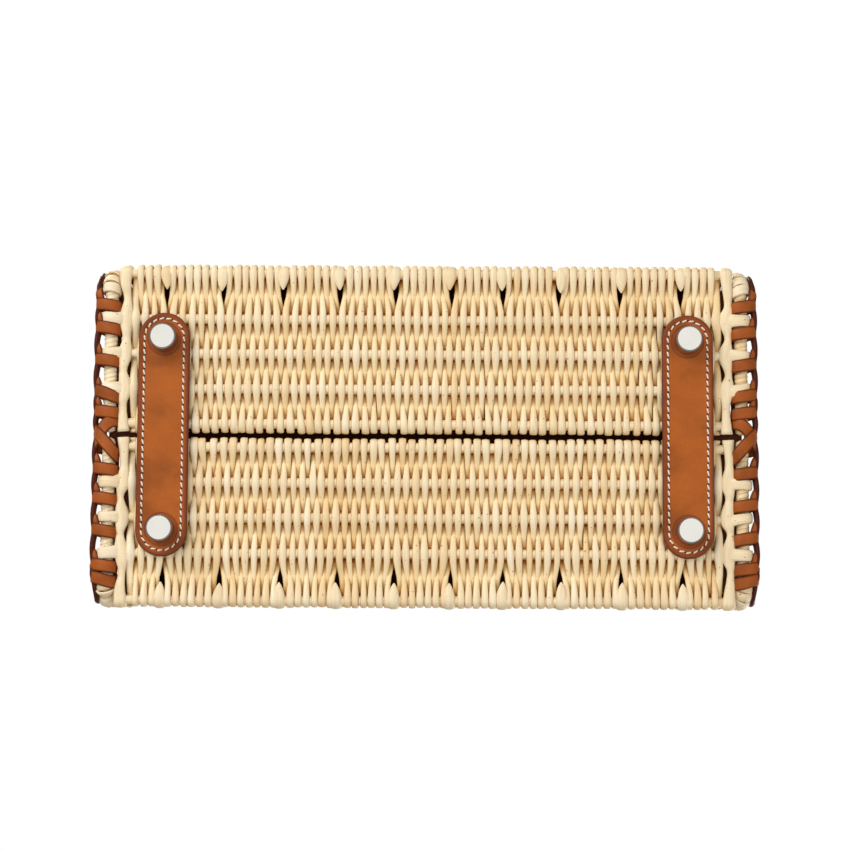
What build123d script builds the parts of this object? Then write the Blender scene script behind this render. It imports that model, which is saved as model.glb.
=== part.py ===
from build123d import *
import math
import os

# A small wicker box bag that stands on four turned feet. +Z is up, the front wall
# faces -Y and the origin is on the floor, in the middle of the four feet.
# All sizes are in millimetres and all angles in degrees.

# Overall sizes
BASE_WIDTH = 192.2  # between the centre lines of the two end rods
BASE_DEPTH = 105.0  # front to back over the wicker, at its foot
BODY_HEIGHT = 129.3  # underside of the wicker to the top edge of its walls
WALL_LEAN = 8.0  # how far the front and back walls lean inwards
SIDE_LEAN = 3.0  # how far the side edges of those walls lean inwards

# Wicker
STICK_D = 2.9  # the sticks of the base and of the lid
STAKE_D = 3.4  # the upright stakes of the walls
STRAND_T = 0.9  # thickness of the woven skein that goes over and under them
ROD_D = 4.2  # the bent rod at each side edge
SEAM_GAP = 1.4  # slit between the two halves of the base
SEAM_STICK_Y = 3.6  # seam to the first stick
STICKS_PER_HALF = 5
HEEL_BAY = 14.2  # the wider bay between the two outer sticks, where the wall turns up
HEEL_R = 4.0  # outside rounding where a wall turns into the base
ROD_BEND_R = 6.0
ROD_TO_MAT = 1.9  # slot between the edge rod and the woven mat
BAND_W = 3.6  # a stick's end, wrapped round the edge rod
BAND_T = 0.55  # thickness of that wrapping
WALL_BAND_PITCH = 11.7  # the same wraps, up the walls' side edges

# Leather
LINING_T = 1.2
GUSSET_T = 1.5
GLUE = 0.05  # glue line between leather and wicker
TUB_R = 2.2  # rounding of the lining where it turns up
FLANGE_W = 11.7  # gusset's laced margin, measured inwards from its outer edge
FLANGE_OVER_ROD = 0.9  # how far that margin reaches past the rod's centre line
FOLD_DEPTH = 9.0  # the gusset's inward fold, at its top edge
LACE_W = 5.0
LACE_T = 1.1
LACE_PLAY = 0.1  # lace to what it goes round
LACE_LINE_OUT = 4.2  # rod's centre line to the braided outer line of the lace
LACE_LINE_T = 2.0
BIND_T = 1.5
BIND_H = 13.5
BIND_PLAY = 0.2

# Base tabs and feet
TAB_W = 15.6
TAB_L = 74.5
TAB_T = 2.0
TAB_EDGE_R = 0.5
FOOT_D = 7.9
FOOT_H = 6.0
FOOT_EDGE = 0.4
FOOT_SPACING_X = 159.6
FOOT_SPACING_Y = 58.2
SHANK_D = 3.0
SHANK_PLAY = 0.06
WASHER_D = 10.0
WASHER_T = 0.8
NUT_AF_R = 3.0  # corner radius of the hexagonal nut
NUT_H = 2.4

# Lid
LID_OVERHANG_X = 1.4  # past the body's rim, at each end
LID_OVERHANG_Y = 0.6  # past the body's rim, front and back
LID_H = 8.0
LID_GAP = 0.3  # lid's underside to the rim
LID_CORNER_R = 9.0
LID_BIND_W = 9.0
LID_BIND_T = 1.6
LID_MAT_PLAY = 0.05

# Hinges
HINGE_X = 55.0
HINGE_W = 18.4
KNUCKLE_GAP = 0.2
KNUCKLE_D = 4.4
HINGE_PIN_D = 2.0
HINGE_PIN_PLAY = 0.05
LEAF_T = 1.0
LEAF_DROP = 11.0
LEAF_REACH = 8.0
WEB_T = 1.1
RIVET_D = 1.6
RIVET_HEAD_D = 3.2
RIVET_HEAD_H = 0.6
RIVET_PLAY = 0.06
HINGE_RIVET_X = 5.6

# Clasp: a leather tab with a magnet that meets a disc on the front wall
CLASP_DROP = 21.0  # rim to the disc's centre
CLASP_DISC_D = 13.0
CLASP_BASE_T = 1.3
CLASP_DISC_T = 1.0
CLASP_AIR = 0.15
CLASP_TAB_W = 25.0
CLASP_TAB_T = 2.0
CLASP_TAB_BELOW = 11.0  # disc's centre to the tab's lower tip
CLASP_CAP_D = 11.0
CLASP_CAP_H = 1.2
CLASP_STEM_D = 2.4
CLASP_WASHER_D = 8.0
TAB_RIVET_X = 8.0

# Handle
HANDLE_SPAN = 96.0
HANDLE_RISE = 41.0
HANDLE_D = 9.0
EYE_W = 8.4
HANDLE_BEND_R = 20.0
EYE_D = 8.4
HANDLE_PIN_D = 3.2
HANDLE_PIN_HEAD_D = 4.8
HANDLE_PIN_HEAD_T = 0.8
HANDLE_PIN_PLAY = 0.05
EAR_T = 1.2
EAR_PLAY = 0.3
PLATE_W = 22.0
PLATE_D = 12.0
PLATE_T = 1.2
PATCH_W = 28.0
PATCH_D = 18.0
PATCH_T = 1.6
PATCH_R = 5.0
PLATE_RIVET_Y = 0.0
PLATE_RIVET_X = 8.6

# Heights and thicknesses that follow from the sizes above
MAT_T = STICK_D + 2 * STRAND_T
WALL_T = STAKE_D + 2 * STRAND_T
ROD_R = ROD_D / 2
Z_BASE = FOOT_H + TAB_T
Z_STICK = Z_BASE + MAT_T / 2
Z_FLOOR = Z_BASE + MAT_T
Z_WALL_TOP = Z_BASE + BODY_HEIGHT
Z_RIM = Z_WALL_TOP + BIND_PLAY + BIND_T
Z_BIND_LOW = Z_RIM - BIND_H
Z_LID = Z_RIM + LID_GAP
Z_LID_TOP = Z_LID + LID_H
BIND_IN = WALL_T + GUSSET_T + GLUE + BIND_PLAY  # binding's inner leg, from the wall's outer face
BIG = 4 * BASE_WIDTH  # longer than the whole bag, for cutting tools
LEAN_TAN = math.tan(math.radians(WALL_LEAN))
LEAN_COS = math.cos(math.radians(WALL_LEAN))
SIDE_TAN = math.tan(math.radians(SIDE_LEAN))
OUTER_STICK_Y = BASE_DEPTH / 2 - MAT_T / 2
STICK_PITCH = (OUTER_STICK_Y - HEEL_BAY - SEAM_STICK_Y) / (STICKS_PER_HALF - 2)
STICK_YS = [SEAM_STICK_Y + k * STICK_PITCH for k in range(STICKS_PER_HALF - 1)]


def wall_y(z, inset):
    """The front wall's y at height z, on the plane that lies inset behind its outer face."""
    return -BASE_DEPTH / 2 + (z - Z_FLOOR) * LEAN_TAN + inset / LEAN_COS


def half_x(z, inset):
    """x of the right edge rod's centre line at height z, less inset."""
    return BASE_WIDTH / 2 - max(0.0, z - Z_STICK) * SIDE_TAN - inset


def yz_prism(points, x_low, x_high):
    """A polygon of (y, z) points, drawn out along X."""
    face = make_face(Polyline(*points, close=True))
    return Pos(x_low, 0, 0) * extrude(Plane.YZ * face, amount=x_high - x_low)


def rounded_yz_prism(points, corner, radius, x_low, x_high):
    """The same, with one corner of the polygon rounded."""
    face = make_face(Polyline(*points, close=True))
    vertex = face.vertices().sort_by_distance((*corner, 0))[0]
    face = fillet(vertex, radius)
    return Pos(x_low, 0, 0) * extrude(Plane.YZ * face, amount=x_high - x_low)


def side_slab(inset):
    """All that lies between the two side edges, each moved inwards by inset."""
    low = half_x(Z_STICK, inset)
    z_high = Z_RIM + BIND_H
    high = half_x(z_high, inset)
    right = [(low, -BIND_H), (low, Z_STICK), (high, z_high)]
    points = right + [(-x, z) for x, z in reversed(right)]
    face = make_face(Polyline(*points, close=True))
    return extrude(Plane.XZ * face, amount=BIG, both=True)


def tub(inset):
    """The hollow between the two walls and above the base, shrunk by inset on all three."""
    z_low = Z_FLOOR + inset
    y_low = -wall_y(z_low, WALL_T + inset)
    y_high = -wall_y(Z_WALL_TOP, WALL_T + inset)
    corners = [(-y_low, z_low), (y_low, z_low)]
    points = [*corners, (y_high, Z_WALL_TOP), (-y_high, Z_WALL_TOP)]
    face = make_face(Polyline(*points, close=True))
    low_vertices = face.vertices().sort_by(Axis.Y)[:2]
    face = fillet(low_vertices, TUB_R + LINING_T - inset)
    return extrude(Plane.YZ * face, amount=BIG / 2, both=True)


def rod_path():
    """Centre line of the right front edge rod: from the seam to the heel and up the wall."""
    heel = (half_x(Z_STICK, 0), wall_y(Z_STICK, WALL_T / 2), Z_STICK)
    top = (half_x(Z_WALL_TOP, 0), wall_y(Z_WALL_TOP, WALL_T / 2), Z_WALL_TOP)
    return FilletPolyline((half_x(Z_STICK, 0), 0, Z_STICK), heel, top, radius=ROD_BEND_R)


def rod_plane(distance):
    """Frame on that centre line, distance from the seam: x outwards, y into the bag, z along."""
    path = rod_path()
    tangent = path.tangent_at(distance, position_mode=PositionMode.LENGTH)
    origin = path.position_at(distance, position_mode=PositionMode.LENGTH)
    outwards = Vector(1, 0, 0) - tangent * tangent.X
    return Plane(origin=origin, x_dir=outwards.normalized(), z_dir=tangent)


def wall_start():
    """Distance from the seam to the first straight of the rod above its bend."""
    edges = rod_path().edges()
    return edges[0].length + edges[1].length


def wall_band_distances():
    """Where the wrapped bands sit on the wall's edge rod."""
    z_share = (Z_BIND_LOW - Z_STICK) / (Z_WALL_TOP - Z_STICK)
    end = wall_start() + (rod_path().length - wall_start()) * z_share
    count = int((end - wall_start() - BAND_W) / WALL_BAND_PITCH)
    return [wall_start() + BAND_W + k * WALL_BAND_PITCH for k in range(count)]


def lace_distances():
    """Where the lace goes round the rod: half way between one band and the next."""
    base = [(a + b) / 2 for a, b in zip(STICK_YS[:-1], STICK_YS[1:])]
    upturn = -wall_y(Z_FLOOR, WALL_T + GUSSET_T + GLUE) - TUB_R
    base.append(upturn - LACE_W / 2 - 4 * LACE_PLAY)
    return base + [d + WALL_BAND_PITCH / 2 for d in wall_band_distances()]


def rod_band(distance):
    """A stick's end wrapped round the rod, with its neck back to the mat."""
    neck_l = ROD_R + ROD_TO_MAT + STRAND_T
    ring = Cylinder(ROD_R + BAND_T, BAND_W)
    neck = Pos(-neck_l / 2, 0, 0) * Box(neck_l, STICK_D, BAND_W)
    return rod_plane(distance) * (ring + neck)


def edge_rod():
    """The right front edge rod, from beside the seam to the top of the wall."""
    path = rod_path()
    start = Plane(origin=path @ 0, z_dir=path % 0)
    rod = sweep(start * Circle(ROD_R), path=path)
    seam_side = Pos(0, 0, Z_STICK) * Box(BIG, SEAM_GAP, BIG)
    return rod - seam_side


def wicker_shell():
    """Front wall and front half of the base, woven as one bent panel."""
    heel = (wall_y(Z_BASE, 0), Z_BASE)
    points = [
        (-SEAM_GAP / 2, Z_BASE),
        heel,
        (wall_y(Z_WALL_TOP, 0), Z_WALL_TOP),
        (wall_y(Z_WALL_TOP, WALL_T), Z_WALL_TOP),
        (wall_y(Z_FLOOR, WALL_T), Z_FLOOR),
        (-SEAM_GAP / 2, Z_FLOOR),
    ]
    shell = rounded_yz_prism(points, heel, HEEL_R, -BASE_WIDTH, BASE_WIDTH)
    return shell & side_slab(ROD_R + ROD_TO_MAT)


def front_basket():
    """Woven front panel with its two edge rods."""
    distances = STICK_YS + wall_band_distances()
    trim = [edge_rod()] + [rod_band(d) for d in distances]
    trim += [mirror(piece, about=Plane.YZ) for piece in trim]
    above = Pos(0, 0, Z_WALL_TOP + BIG / 2) * Box(BIG, BIG, BIG)
    return wicker_shell() + trim - tub(0) - above


def lining():
    """One folded sheet of dark leather: front wall, floor and back wall."""
    sheet = tub(GLUE) - tub(GLUE + LINING_T)
    margin = FLANGE_W - FLANGE_OVER_ROD + GUSSET_T + BIND_PLAY
    return sheet & side_slab(margin)


def lace_slot(distance):
    """Slot in the gusset's margin that one turn of the lace passes through."""
    wide = LACE_T + 4 * LACE_PLAY
    x_mid = -(ROD_R + 4 * LACE_PLAY + LACE_T / 2)
    slot = Box(wide, WALL_T, LACE_W + 6 * LACE_PLAY)
    return rod_plane(distance) * Pos(x_mid, ROD_R + WALL_T / 2, 0) * slot


def gusset_fold():
    """The gusset's upright panel, creased so that its top edge folds into the bag."""
    z_high = Z_WALL_TOP - BIND_T
    x_low = half_x(Z_FLOOR, FLANGE_W - FLANGE_OVER_ROD)
    x_high = half_x(z_high, FLANGE_W - FLANGE_OVER_ROD)
    foot_corner = (x_low, wall_y(Z_FLOOR, WALL_T), Z_FLOOR)
    foot_middle = (x_low, 0, Z_FLOOR)
    top_middle = (x_high - FOLD_DEPTH, 0, z_high)
    top_corner = (x_high, wall_y(z_high, WALL_T), z_high)
    low = Face(Wire.make_polygon([foot_corner, foot_middle, top_middle]))
    high = Face(Wire.make_polygon([foot_corner, top_middle, top_corner]))
    half = extrude(low, amount=GUSSET_T, dir=(1, 0, 0)) + extrude(high, amount=GUSSET_T, dir=(1, 0, 0))
    return half + mirror(half, about=Plane.XZ)


def right_gusset():
    """One cut sheet: a folded panel with a margin that is laced to the edge rods."""
    margin = side_slab(-FLANGE_OVER_ROD) - side_slab(FLANGE_W - FLANGE_OVER_ROD)
    right_side = Pos(BIG / 2, 0, 0) * Box(BIG, BIG, BIG)
    flange = (tub(GLUE) - tub(GLUE + GUSSET_T)) & margin & right_side
    body = flange + (gusset_fold() & tub(GLUE))
    slots = [lace_slot(d) for d in lace_distances()]
    slots += [mirror(slot, about=Plane.XZ) for slot in slots]
    inner_leg = binding_leg(BIND_IN - GLUE, BIND_IN + BIND_T + BIND_PLAY, Z_BIND_LOW - BIND_PLAY, Z_RIM)
    legs = [inner_leg, mirror(inner_leg, about=Plane.XZ)]
    return body - slots - legs


def lace_turn(distance):
    """One turn of the lace round the rod and the gusset's margin."""
    x_in = -(ROD_R + 4 * LACE_PLAY)
    x_out = LACE_LINE_OUT
    y_low = -(ROD_R + LACE_PLAY)
    y_high = WALL_T / 2 + GUSSET_T + GLUE + LACE_PLAY
    x_mid = (x_in + x_out) / 2
    y_mid = (y_low + y_high) / 2
    outer = Box(x_out - x_in + 2 * LACE_T, y_high - y_low + 2 * LACE_T, LACE_W)
    inner = Box(x_out - x_in, y_high - y_low, 2 * LACE_W)
    return rod_plane(distance) * Pos(x_mid, y_mid, 0) * (outer - inner)


def lace_line():
    """The lace's outer line, which every turn is caught in."""
    x_shift = LACE_LINE_OUT + LACE_LINE_T / 2
    z_end = Z_BIND_LOW - LACE_W
    x_low = half_x(Z_STICK, -x_shift)
    x_high = half_x(z_end, -x_shift)
    y_low = wall_y(Z_STICK, WALL_T / 2)
    y_high = wall_y(z_end, WALL_T / 2)
    back_top = (x_high, -y_high, z_end)
    back_heel = (x_low, -y_low, Z_STICK)
    front_heel = (x_low, y_low, Z_STICK)
    front_top = (x_high, y_high, z_end)
    path = FilletPolyline(back_top, back_heel, front_heel, front_top, radius=ROD_BEND_R)
    start = Plane(origin=path @ 0, x_dir=(1, 0, 0), z_dir=path % 0)
    return sweep(start * Rectangle(LACE_LINE_T, LACE_W), path=path)


def right_lacing():
    """The tan thong that laces the right gusset to both wicker panels."""
    turns = [lace_turn(d) for d in lace_distances()]
    turns += [mirror(turn, about=Plane.XZ) for turn in turns]
    return lace_line() + turns


def binding_leg(low_inset, high_inset, z_low, z_high):
    """A leaning slab along the front rim, between two planes of the wall."""
    points = [
        (wall_y(z_low, low_inset), z_low),
        (wall_y(z_low, high_inset), z_low),
        (wall_y(z_high, high_inset), z_high),
        (wall_y(z_high, low_inset), z_high),
    ]
    return yz_prism(points, -BASE_WIDTH, BASE_WIDTH)


def rim_half_x():
    """Half the length of a rim binding."""
    return half_x(Z_BIND_LOW, -(ROD_R + BAND_T + BIND_PLAY)) + BIND_T


def front_rim_binding():
    """Leather strip folded over the front wall's top edge, closed at both ends."""
    half = rim_half_x()
    bar = binding_leg(-BIND_PLAY - BIND_T, BIND_IN + BIND_T, Z_BIND_LOW, Z_RIM)
    bar = bar & Box(2 * half, BIG, BIG)
    hollow = binding_leg(-BIND_PLAY, BIND_IN, Z_BIND_LOW - BIND_T, Z_RIM - BIND_T)
    hollow = hollow & Box(2 * (half - BIND_T), BIG, BIG)
    return bar - hollow


def tab_positions():
    """Centre x of the two base tabs."""
    return (-FOOT_SPACING_X / 2, FOOT_SPACING_X / 2)


def base_tab(x):
    """Leather tab across the seam, held by two feet."""
    outline = Pos(x, 0, FOOT_H) * Rot(0, 0, 90) * SlotOverall(TAB_L, TAB_W)
    tab = extrude(outline, amount=TAB_T)
    return fillet(tab.faces().sort_by(Axis.Z)[0].edges(), TAB_EDGE_R)


def nut_top():
    """Height of the top of the nuts on the floor lining."""
    return Z_FLOOR + GLUE + LINING_T + WASHER_T + NUT_H


def foot(x, y):
    """Turned foot: a plain drum with a threaded shank through the base."""
    drum = Pos(x, y, FOOT_H / 2) * Cylinder(FOOT_D / 2, FOOT_H)
    drum = chamfer(drum.faces().sort_by(Axis.Z)[0].edges(), FOOT_EDGE)
    length = nut_top() - FOOT_H
    shank = Pos(x, y, FOOT_H + length / 2) * Cylinder(SHANK_D / 2, length)
    return drum + shank


def foot_places():
    """Name and place of each foot."""
    half_w = FOOT_SPACING_X / 2
    half_d = FOOT_SPACING_Y / 2
    return {
        "foot_front_left": (-half_w, -half_d),
        "foot_front_right": (half_w, -half_d),
        "foot_back_left": (-half_w, half_d),
        "foot_back_right": (half_w, half_d),
    }


def shank_holes():
    """Drills for the four shanks, through tab, wicker and lining."""
    radius = SHANK_D / 2 + SHANK_PLAY
    return [Pos(x, y, Z_STICK) * Cylinder(radius, 4 * MAT_T) for x, y in foot_places().values()]


def foot_washers():
    """Washers that spread each nut's load on the floor lining."""
    z = Z_FLOOR + GLUE + LINING_T + WASHER_T / 2
    rings = [Pos(x, y, z) * Cylinder(WASHER_D / 2, WASHER_T) for x, y in foot_places().values()]
    return [ring - shank_holes() for ring in rings]


def foot_nuts():
    """Hexagonal nuts on the shanks, inside the bag."""
    z = nut_top() - NUT_H
    nuts = []
    for x, y in foot_places().values():
        hexagon = Pos(x, y, z) * extrude(RegularPolygon(NUT_AF_R, 6), amount=NUT_H)
        drill = Pos(x, y, z) * Cylinder(SHANK_D / 2 + SHANK_PLAY, 4 * NUT_H)
        nuts.append(hexagon - drill)
    return nuts


def lid_half_x():
    """Half the lid's length."""
    return rim_half_x() + LID_OVERHANG_X


def lid_half_y():
    """Half the lid's depth."""
    return -wall_y(Z_RIM, -BIND_PLAY - BIND_T) + LID_OVERHANG_Y


def lid_plate(inset, z_low, z_high):
    """A slab with the lid's outline, shrunk by inset."""
    outline = RectangleRounded(
        2 * (lid_half_x() - inset), 2 * (lid_half_y() - inset), max(LID_CORNER_R - inset, LID_BIND_T)
    )
    return extrude(Pos(0, 0, z_low) * outline, amount=z_high - z_low)


def lid_mat_low():
    """Underside of the lid's woven mat."""
    return Z_LID + (LID_H - MAT_T) / 2


def lid_basket():
    """The lid's woven mat."""
    low = lid_mat_low()
    return lid_plate(LID_BIND_T + LID_MAT_PLAY, low, low + MAT_T)


def lid_binding():
    """Leather strip folded round the mat's edge."""
    low = lid_mat_low()
    bar = lid_plate(0, Z_LID, Z_LID_TOP)
    bar = fillet(bar.edges().filter_by(Plane.XY), LID_BIND_T / 2)
    window = lid_plate(LID_BIND_W, Z_LID - LID_H, Z_LID_TOP + LID_H)
    groove = lid_plate(LID_BIND_T, low - LID_MAT_PLAY, low + MAT_T + LID_MAT_PLAY)
    return bar - window - groove


def lid_lining():
    """Dark leather panel glued under the mat."""
    high = lid_mat_low() - GLUE
    return lid_plate(LID_BIND_W + BIND_PLAY, high - LINING_T, high)


def hinge_axis_y():
    """y of the hinge pins."""
    return lid_half_y() + LEAF_T + KNUCKLE_D / 2 + 2 * HINGE_PIN_PLAY


def knuckle(x, width):
    """One knuckle, with its bore."""
    place = Pos(x, hinge_axis_y(), Z_RIM) * Rot(0, 90, 0)
    bore = Cylinder(HINGE_PIN_D / 2 + HINGE_PIN_PLAY, 2 * width)
    return place * Cylinder(KNUCKLE_D / 2, width), place * bore


def knuckle_width():
    """Three knuckles and two gaps make up the hinge's width."""
    return (HINGE_W - 2 * KNUCKLE_GAP) / 3


def hinge_body_leaf(x):
    """Leaf on the back rim, with the middle knuckle."""
    width = knuckle_width()
    barrel, bore = knuckle(x, width)
    z_low = Z_RIM - LEAF_DROP
    z_high = Z_RIM - 2 * HINGE_PIN_PLAY
    near = -BIND_PLAY - BIND_T - GLUE
    points = [
        (-wall_y(z_low, near), z_low),
        (-wall_y(z_low, near - LEAF_T), z_low),
        (-wall_y(z_high, near - LEAF_T), z_high),
        (-wall_y(z_high, near), z_high),
    ]
    plate = yz_prism(points, x - HINGE_W / 2, x + HINGE_W / 2)
    y_plate = -wall_y(z_high, near - LEAF_T / 2)
    web_l = hinge_axis_y() - y_plate
    web_z = Z_RIM - KNUCKLE_D / 2 + WEB_T / 2
    web = Pos(x, y_plate + web_l / 2, web_z) * Box(width, web_l, WEB_T)
    return plate + barrel + web - bore


def hinge_lid_leaf(x):
    """Leaf bent over the lid's back edge, with the two outer knuckles."""
    width = knuckle_width()
    y_edge = lid_half_y() + GLUE
    z_top = Z_LID_TOP + GLUE
    z_low = Z_RIM + WEB_T
    upright_h = z_top + LEAF_T - z_low
    upright = Pos(x, y_edge + LEAF_T / 2, z_low + upright_h / 2) * Box(HINGE_W, LEAF_T, upright_h)
    flat_l = LEAF_REACH + LEAF_T
    flat = Pos(x, y_edge + LEAF_T - flat_l / 2, z_top + LEAF_T / 2) * Box(HINGE_W, flat_l, LEAF_T)
    leaf = upright + flat
    web_l = hinge_axis_y() - y_edge
    for side in (-1, 1):
        x_knuckle = x + side * (width + KNUCKLE_GAP)
        barrel, bore = knuckle(x_knuckle, width)
        web_z = Z_RIM + KNUCKLE_D / 2 - WEB_T / 2
        web = Pos(x_knuckle, y_edge + web_l / 2, web_z) * Box(width, web_l, WEB_T)
        leaf = leaf + barrel + web - bore
    return leaf


def hinge_pin(x):
    """Plain pin through the three knuckles."""
    return Pos(x, hinge_axis_y(), Z_RIM) * Rot(0, 90, 0) * Cylinder(HINGE_PIN_D / 2, HINGE_W)


def rivet(plane, length):
    """Domed rivet: head on the plane, shank below it and a burr at its end."""
    shank = Pos(0, 0, -length / 2) * Cylinder(RIVET_D / 2, length)
    head = Pos(0, 0, RIVET_HEAD_H / 2) * Cylinder(RIVET_HEAD_D / 2, RIVET_HEAD_H)
    head = fillet(head.faces().sort_by(Axis.Z)[-1].edges(), RIVET_HEAD_H * 2 / 3)
    burr = Pos(0, 0, -length - RIVET_HEAD_H / 2) * Cylinder(RIVET_HEAD_D / 2, RIVET_HEAD_H)
    return plane * (shank + head + burr)


def rivet_drill(plane, length):
    """Clearance hole for such a rivet's shank."""
    return plane * Pos(0, 0, -length / 2) * Cylinder(RIVET_D / 2 + RIVET_PLAY, length + 2 * RIVET_D)


def wall_plane(x, z, inset):
    """Frame on a plane of the front wall: z is the wall's outward normal."""
    lean = math.radians(WALL_LEAN)
    normal = (0, -math.cos(lean), math.sin(lean))
    face = Plane(origin=(x, wall_y(z, 0), z), x_dir=(1, 0, 0), z_dir=normal)
    return face.offset(-inset)


def body_rivet_planes():
    """Rivets of the two body leaves, before they are mirrored to the back wall."""
    z = Z_RIM - LEAF_DROP * 0.62
    inset = -BIND_PLAY - BIND_T - 2 * GLUE - LEAF_T
    xs = [side * HINGE_X + k * HINGE_RIVET_X for side in (-1, 1) for k in (-1, 1)]
    return [wall_plane(x, z, inset) for x in xs]


def body_rivet_length():
    """From the leaf's face through binding, wicker and lining."""
    return LEAF_T + 3 * GLUE + BIND_PLAY + 2 * BIND_T + BIND_IN


def lid_rivet_planes():
    """Rivets of the two lid leaves."""
    y = lid_half_y() - LEAF_REACH * 0.55
    z = Z_LID_TOP + 2 * GLUE + LEAF_T
    xs = [side * HINGE_X + k * HINGE_RIVET_X for side in (-1, 1) for k in (-1, 1)]
    return [Plane(origin=(x, y, z), x_dir=(1, 0, 0), z_dir=(0, 0, 1)) for x in xs]


def lid_rivet_length():
    """From the leaf's face to inside the lid's lower leather, where the burr is sunk."""
    return LEAF_T + 2 * GLUE + LID_H - LID_BIND_T


def clasp_z():
    """Height of the clasp's centre."""
    return Z_RIM - CLASP_DROP


def clasp_disc(inset, radius, thickness):
    """A disc parallel to the front wall; it stands outwards from the plane at inset."""
    return wall_plane(0, clasp_z(), inset) * Pos(0, 0, thickness / 2) * Cylinder(radius, thickness)


def clasp_base():
    """Steel disc on the front wall, with its stem through wicker and lining."""
    disc = clasp_disc(-GLUE, CLASP_DISC_D / 2, CLASP_BASE_T)
    length = WALL_T + LINING_T + 3 * GLUE + WASHER_T
    stem = clasp_disc(length - GLUE, CLASP_STEM_D / 2, length)
    return disc + stem


def clasp_washer():
    """Washer on the stem, inside the lining."""
    inset = WALL_T + LINING_T + 2 * GLUE + WASHER_T
    ring = clasp_disc(inset, CLASP_WASHER_D / 2, WASHER_T)
    return ring - clasp_disc(inset + WASHER_T, CLASP_STEM_D / 2 + RIVET_PLAY, 3 * WASHER_T)


def tab_inset():
    """Where the clasp tab's inner face lies, from the wall's outer face."""
    return -(GLUE + CLASP_BASE_T + CLASP_AIR + CLASP_DISC_T + GLUE)


def clasp_tab():
    """Leather tab from the lid's front edge down over the wall, with a round tip."""
    y_front = -lid_half_y() - 2 * LACE_PLAY
    z_over = Z_LID_TOP + GLUE
    z_tip = clasp_z() - CLASP_TAB_BELOW
    inset = tab_inset()
    y_back = -lid_half_y() + LID_BIND_W
    knee_z = Z_RIM
    inner = [(y_back, z_over), (y_front, z_over), (y_front, knee_z), (wall_y(z_tip, inset), z_tip)]
    thick = CLASP_TAB_T
    outer = [
        (wall_y(z_tip, inset - thick), z_tip),
        (y_front - thick, knee_z),
        (y_front - thick, z_over + thick),
        (y_back, z_over + thick),
    ]
    face = make_face(Polyline(*inner, *outer, close=True))
    bend = face.vertices().sort_by_distance((y_front - thick, z_over + thick, 0))[0]
    face = fillet(bend, thick * 0.9)
    strip = extrude(Plane.YZ * face, amount=CLASP_TAB_W / 2, both=True)
    half = CLASP_TAB_W / 2
    tip = Pos(0, 0, z_tip + half) * Rot(90, 0, 0) * Cylinder(half, BIG)
    upper_h = 2 * (Z_LID_TOP - z_tip)
    upper = Pos(0, 0, z_tip + half + upper_h / 2) * Box(CLASP_TAB_W, BIG, upper_h)
    return strip & (tip + upper)


def clasp_magnet():
    """Magnet disc behind the tab, with its stem through the leather."""
    disc = clasp_disc(tab_inset() + CLASP_DISC_T + GLUE, CLASP_DISC_D / 2, CLASP_DISC_T)
    stem_l = CLASP_TAB_T + CLASP_DISC_T + GLUE
    stem = clasp_disc(tab_inset() + CLASP_DISC_T + GLUE, CLASP_STEM_D / 2, stem_l)
    return disc + stem


def clasp_cap():
    """Domed cap on the tab's face, over the magnet's stem."""
    cap = clasp_disc(tab_inset() - CLASP_TAB_T - GLUE, CLASP_CAP_D / 2, CLASP_CAP_H)
    rim = cap.edges().sort_by(Axis.Y)[0]
    return fillet(rim, CLASP_CAP_H * 0.8)


def tab_rivet_planes():
    """Two rivets that hold the clasp tab to the lid."""
    y = -lid_half_y() + LID_BIND_W / 2
    z = Z_LID_TOP + 2 * GLUE + CLASP_TAB_T
    return [Plane(origin=(x, y, z), x_dir=(1, 0, 0), z_dir=(0, 0, 1)) for x in (-TAB_RIVET_X, TAB_RIVET_X)]


def tab_rivet_length():
    """From the tab's face to inside the lid's lower leather."""
    return CLASP_TAB_T + 2 * GLUE + LID_H - LID_BIND_T


def lid_mat_top():
    """Top of the lid's woven mat."""
    return lid_mat_low() + MAT_T


def plate_top():
    """Top of the handle plates."""
    return lid_mat_top() + GLUE + PATCH_T + PLATE_T


def pivot_z():
    """Height of the handle's pivot."""
    return plate_top() + EYE_D / 2 + 2 * EAR_PLAY


def handle_patch(x):
    """Leather patch under a handle plate."""
    outline = Pos(x, 0, lid_mat_top() + GLUE) * RectangleRounded(PATCH_W, PATCH_D, PATCH_R)
    return extrude(outline, amount=PATCH_T)


def handle_mount(x):
    """Metal plate with two ears that hold the handle's pin."""
    plate = Pos(x, 0, plate_top() - PLATE_T / 2) * Box(PLATE_W, PLATE_D, PLATE_T)
    plate = fillet(plate.edges().filter_by(Axis.Z), PATCH_R / 2)
    ear_h = pivot_z() - plate_top() + PLATE_T / 2
    mount = plate
    for side in (-1, 1):
        x_ear = x + side * (HANDLE_D / 2 + EAR_PLAY + EAR_T / 2)
        post = Pos(x_ear, 0, pivot_z() - ear_h / 2) * Box(EAR_T, EYE_D, ear_h)
        crown = Pos(x_ear, 0, pivot_z()) * Rot(0, 90, 0) * Cylinder(EYE_D / 2, EAR_T)
        mount = mount + post + crown
    bore = Pos(x, 0, pivot_z()) * Rot(0, 90, 0) * Cylinder(HANDLE_PIN_D / 2 + HANDLE_PIN_PLAY, BIG / 8)
    return mount - bore


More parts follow.
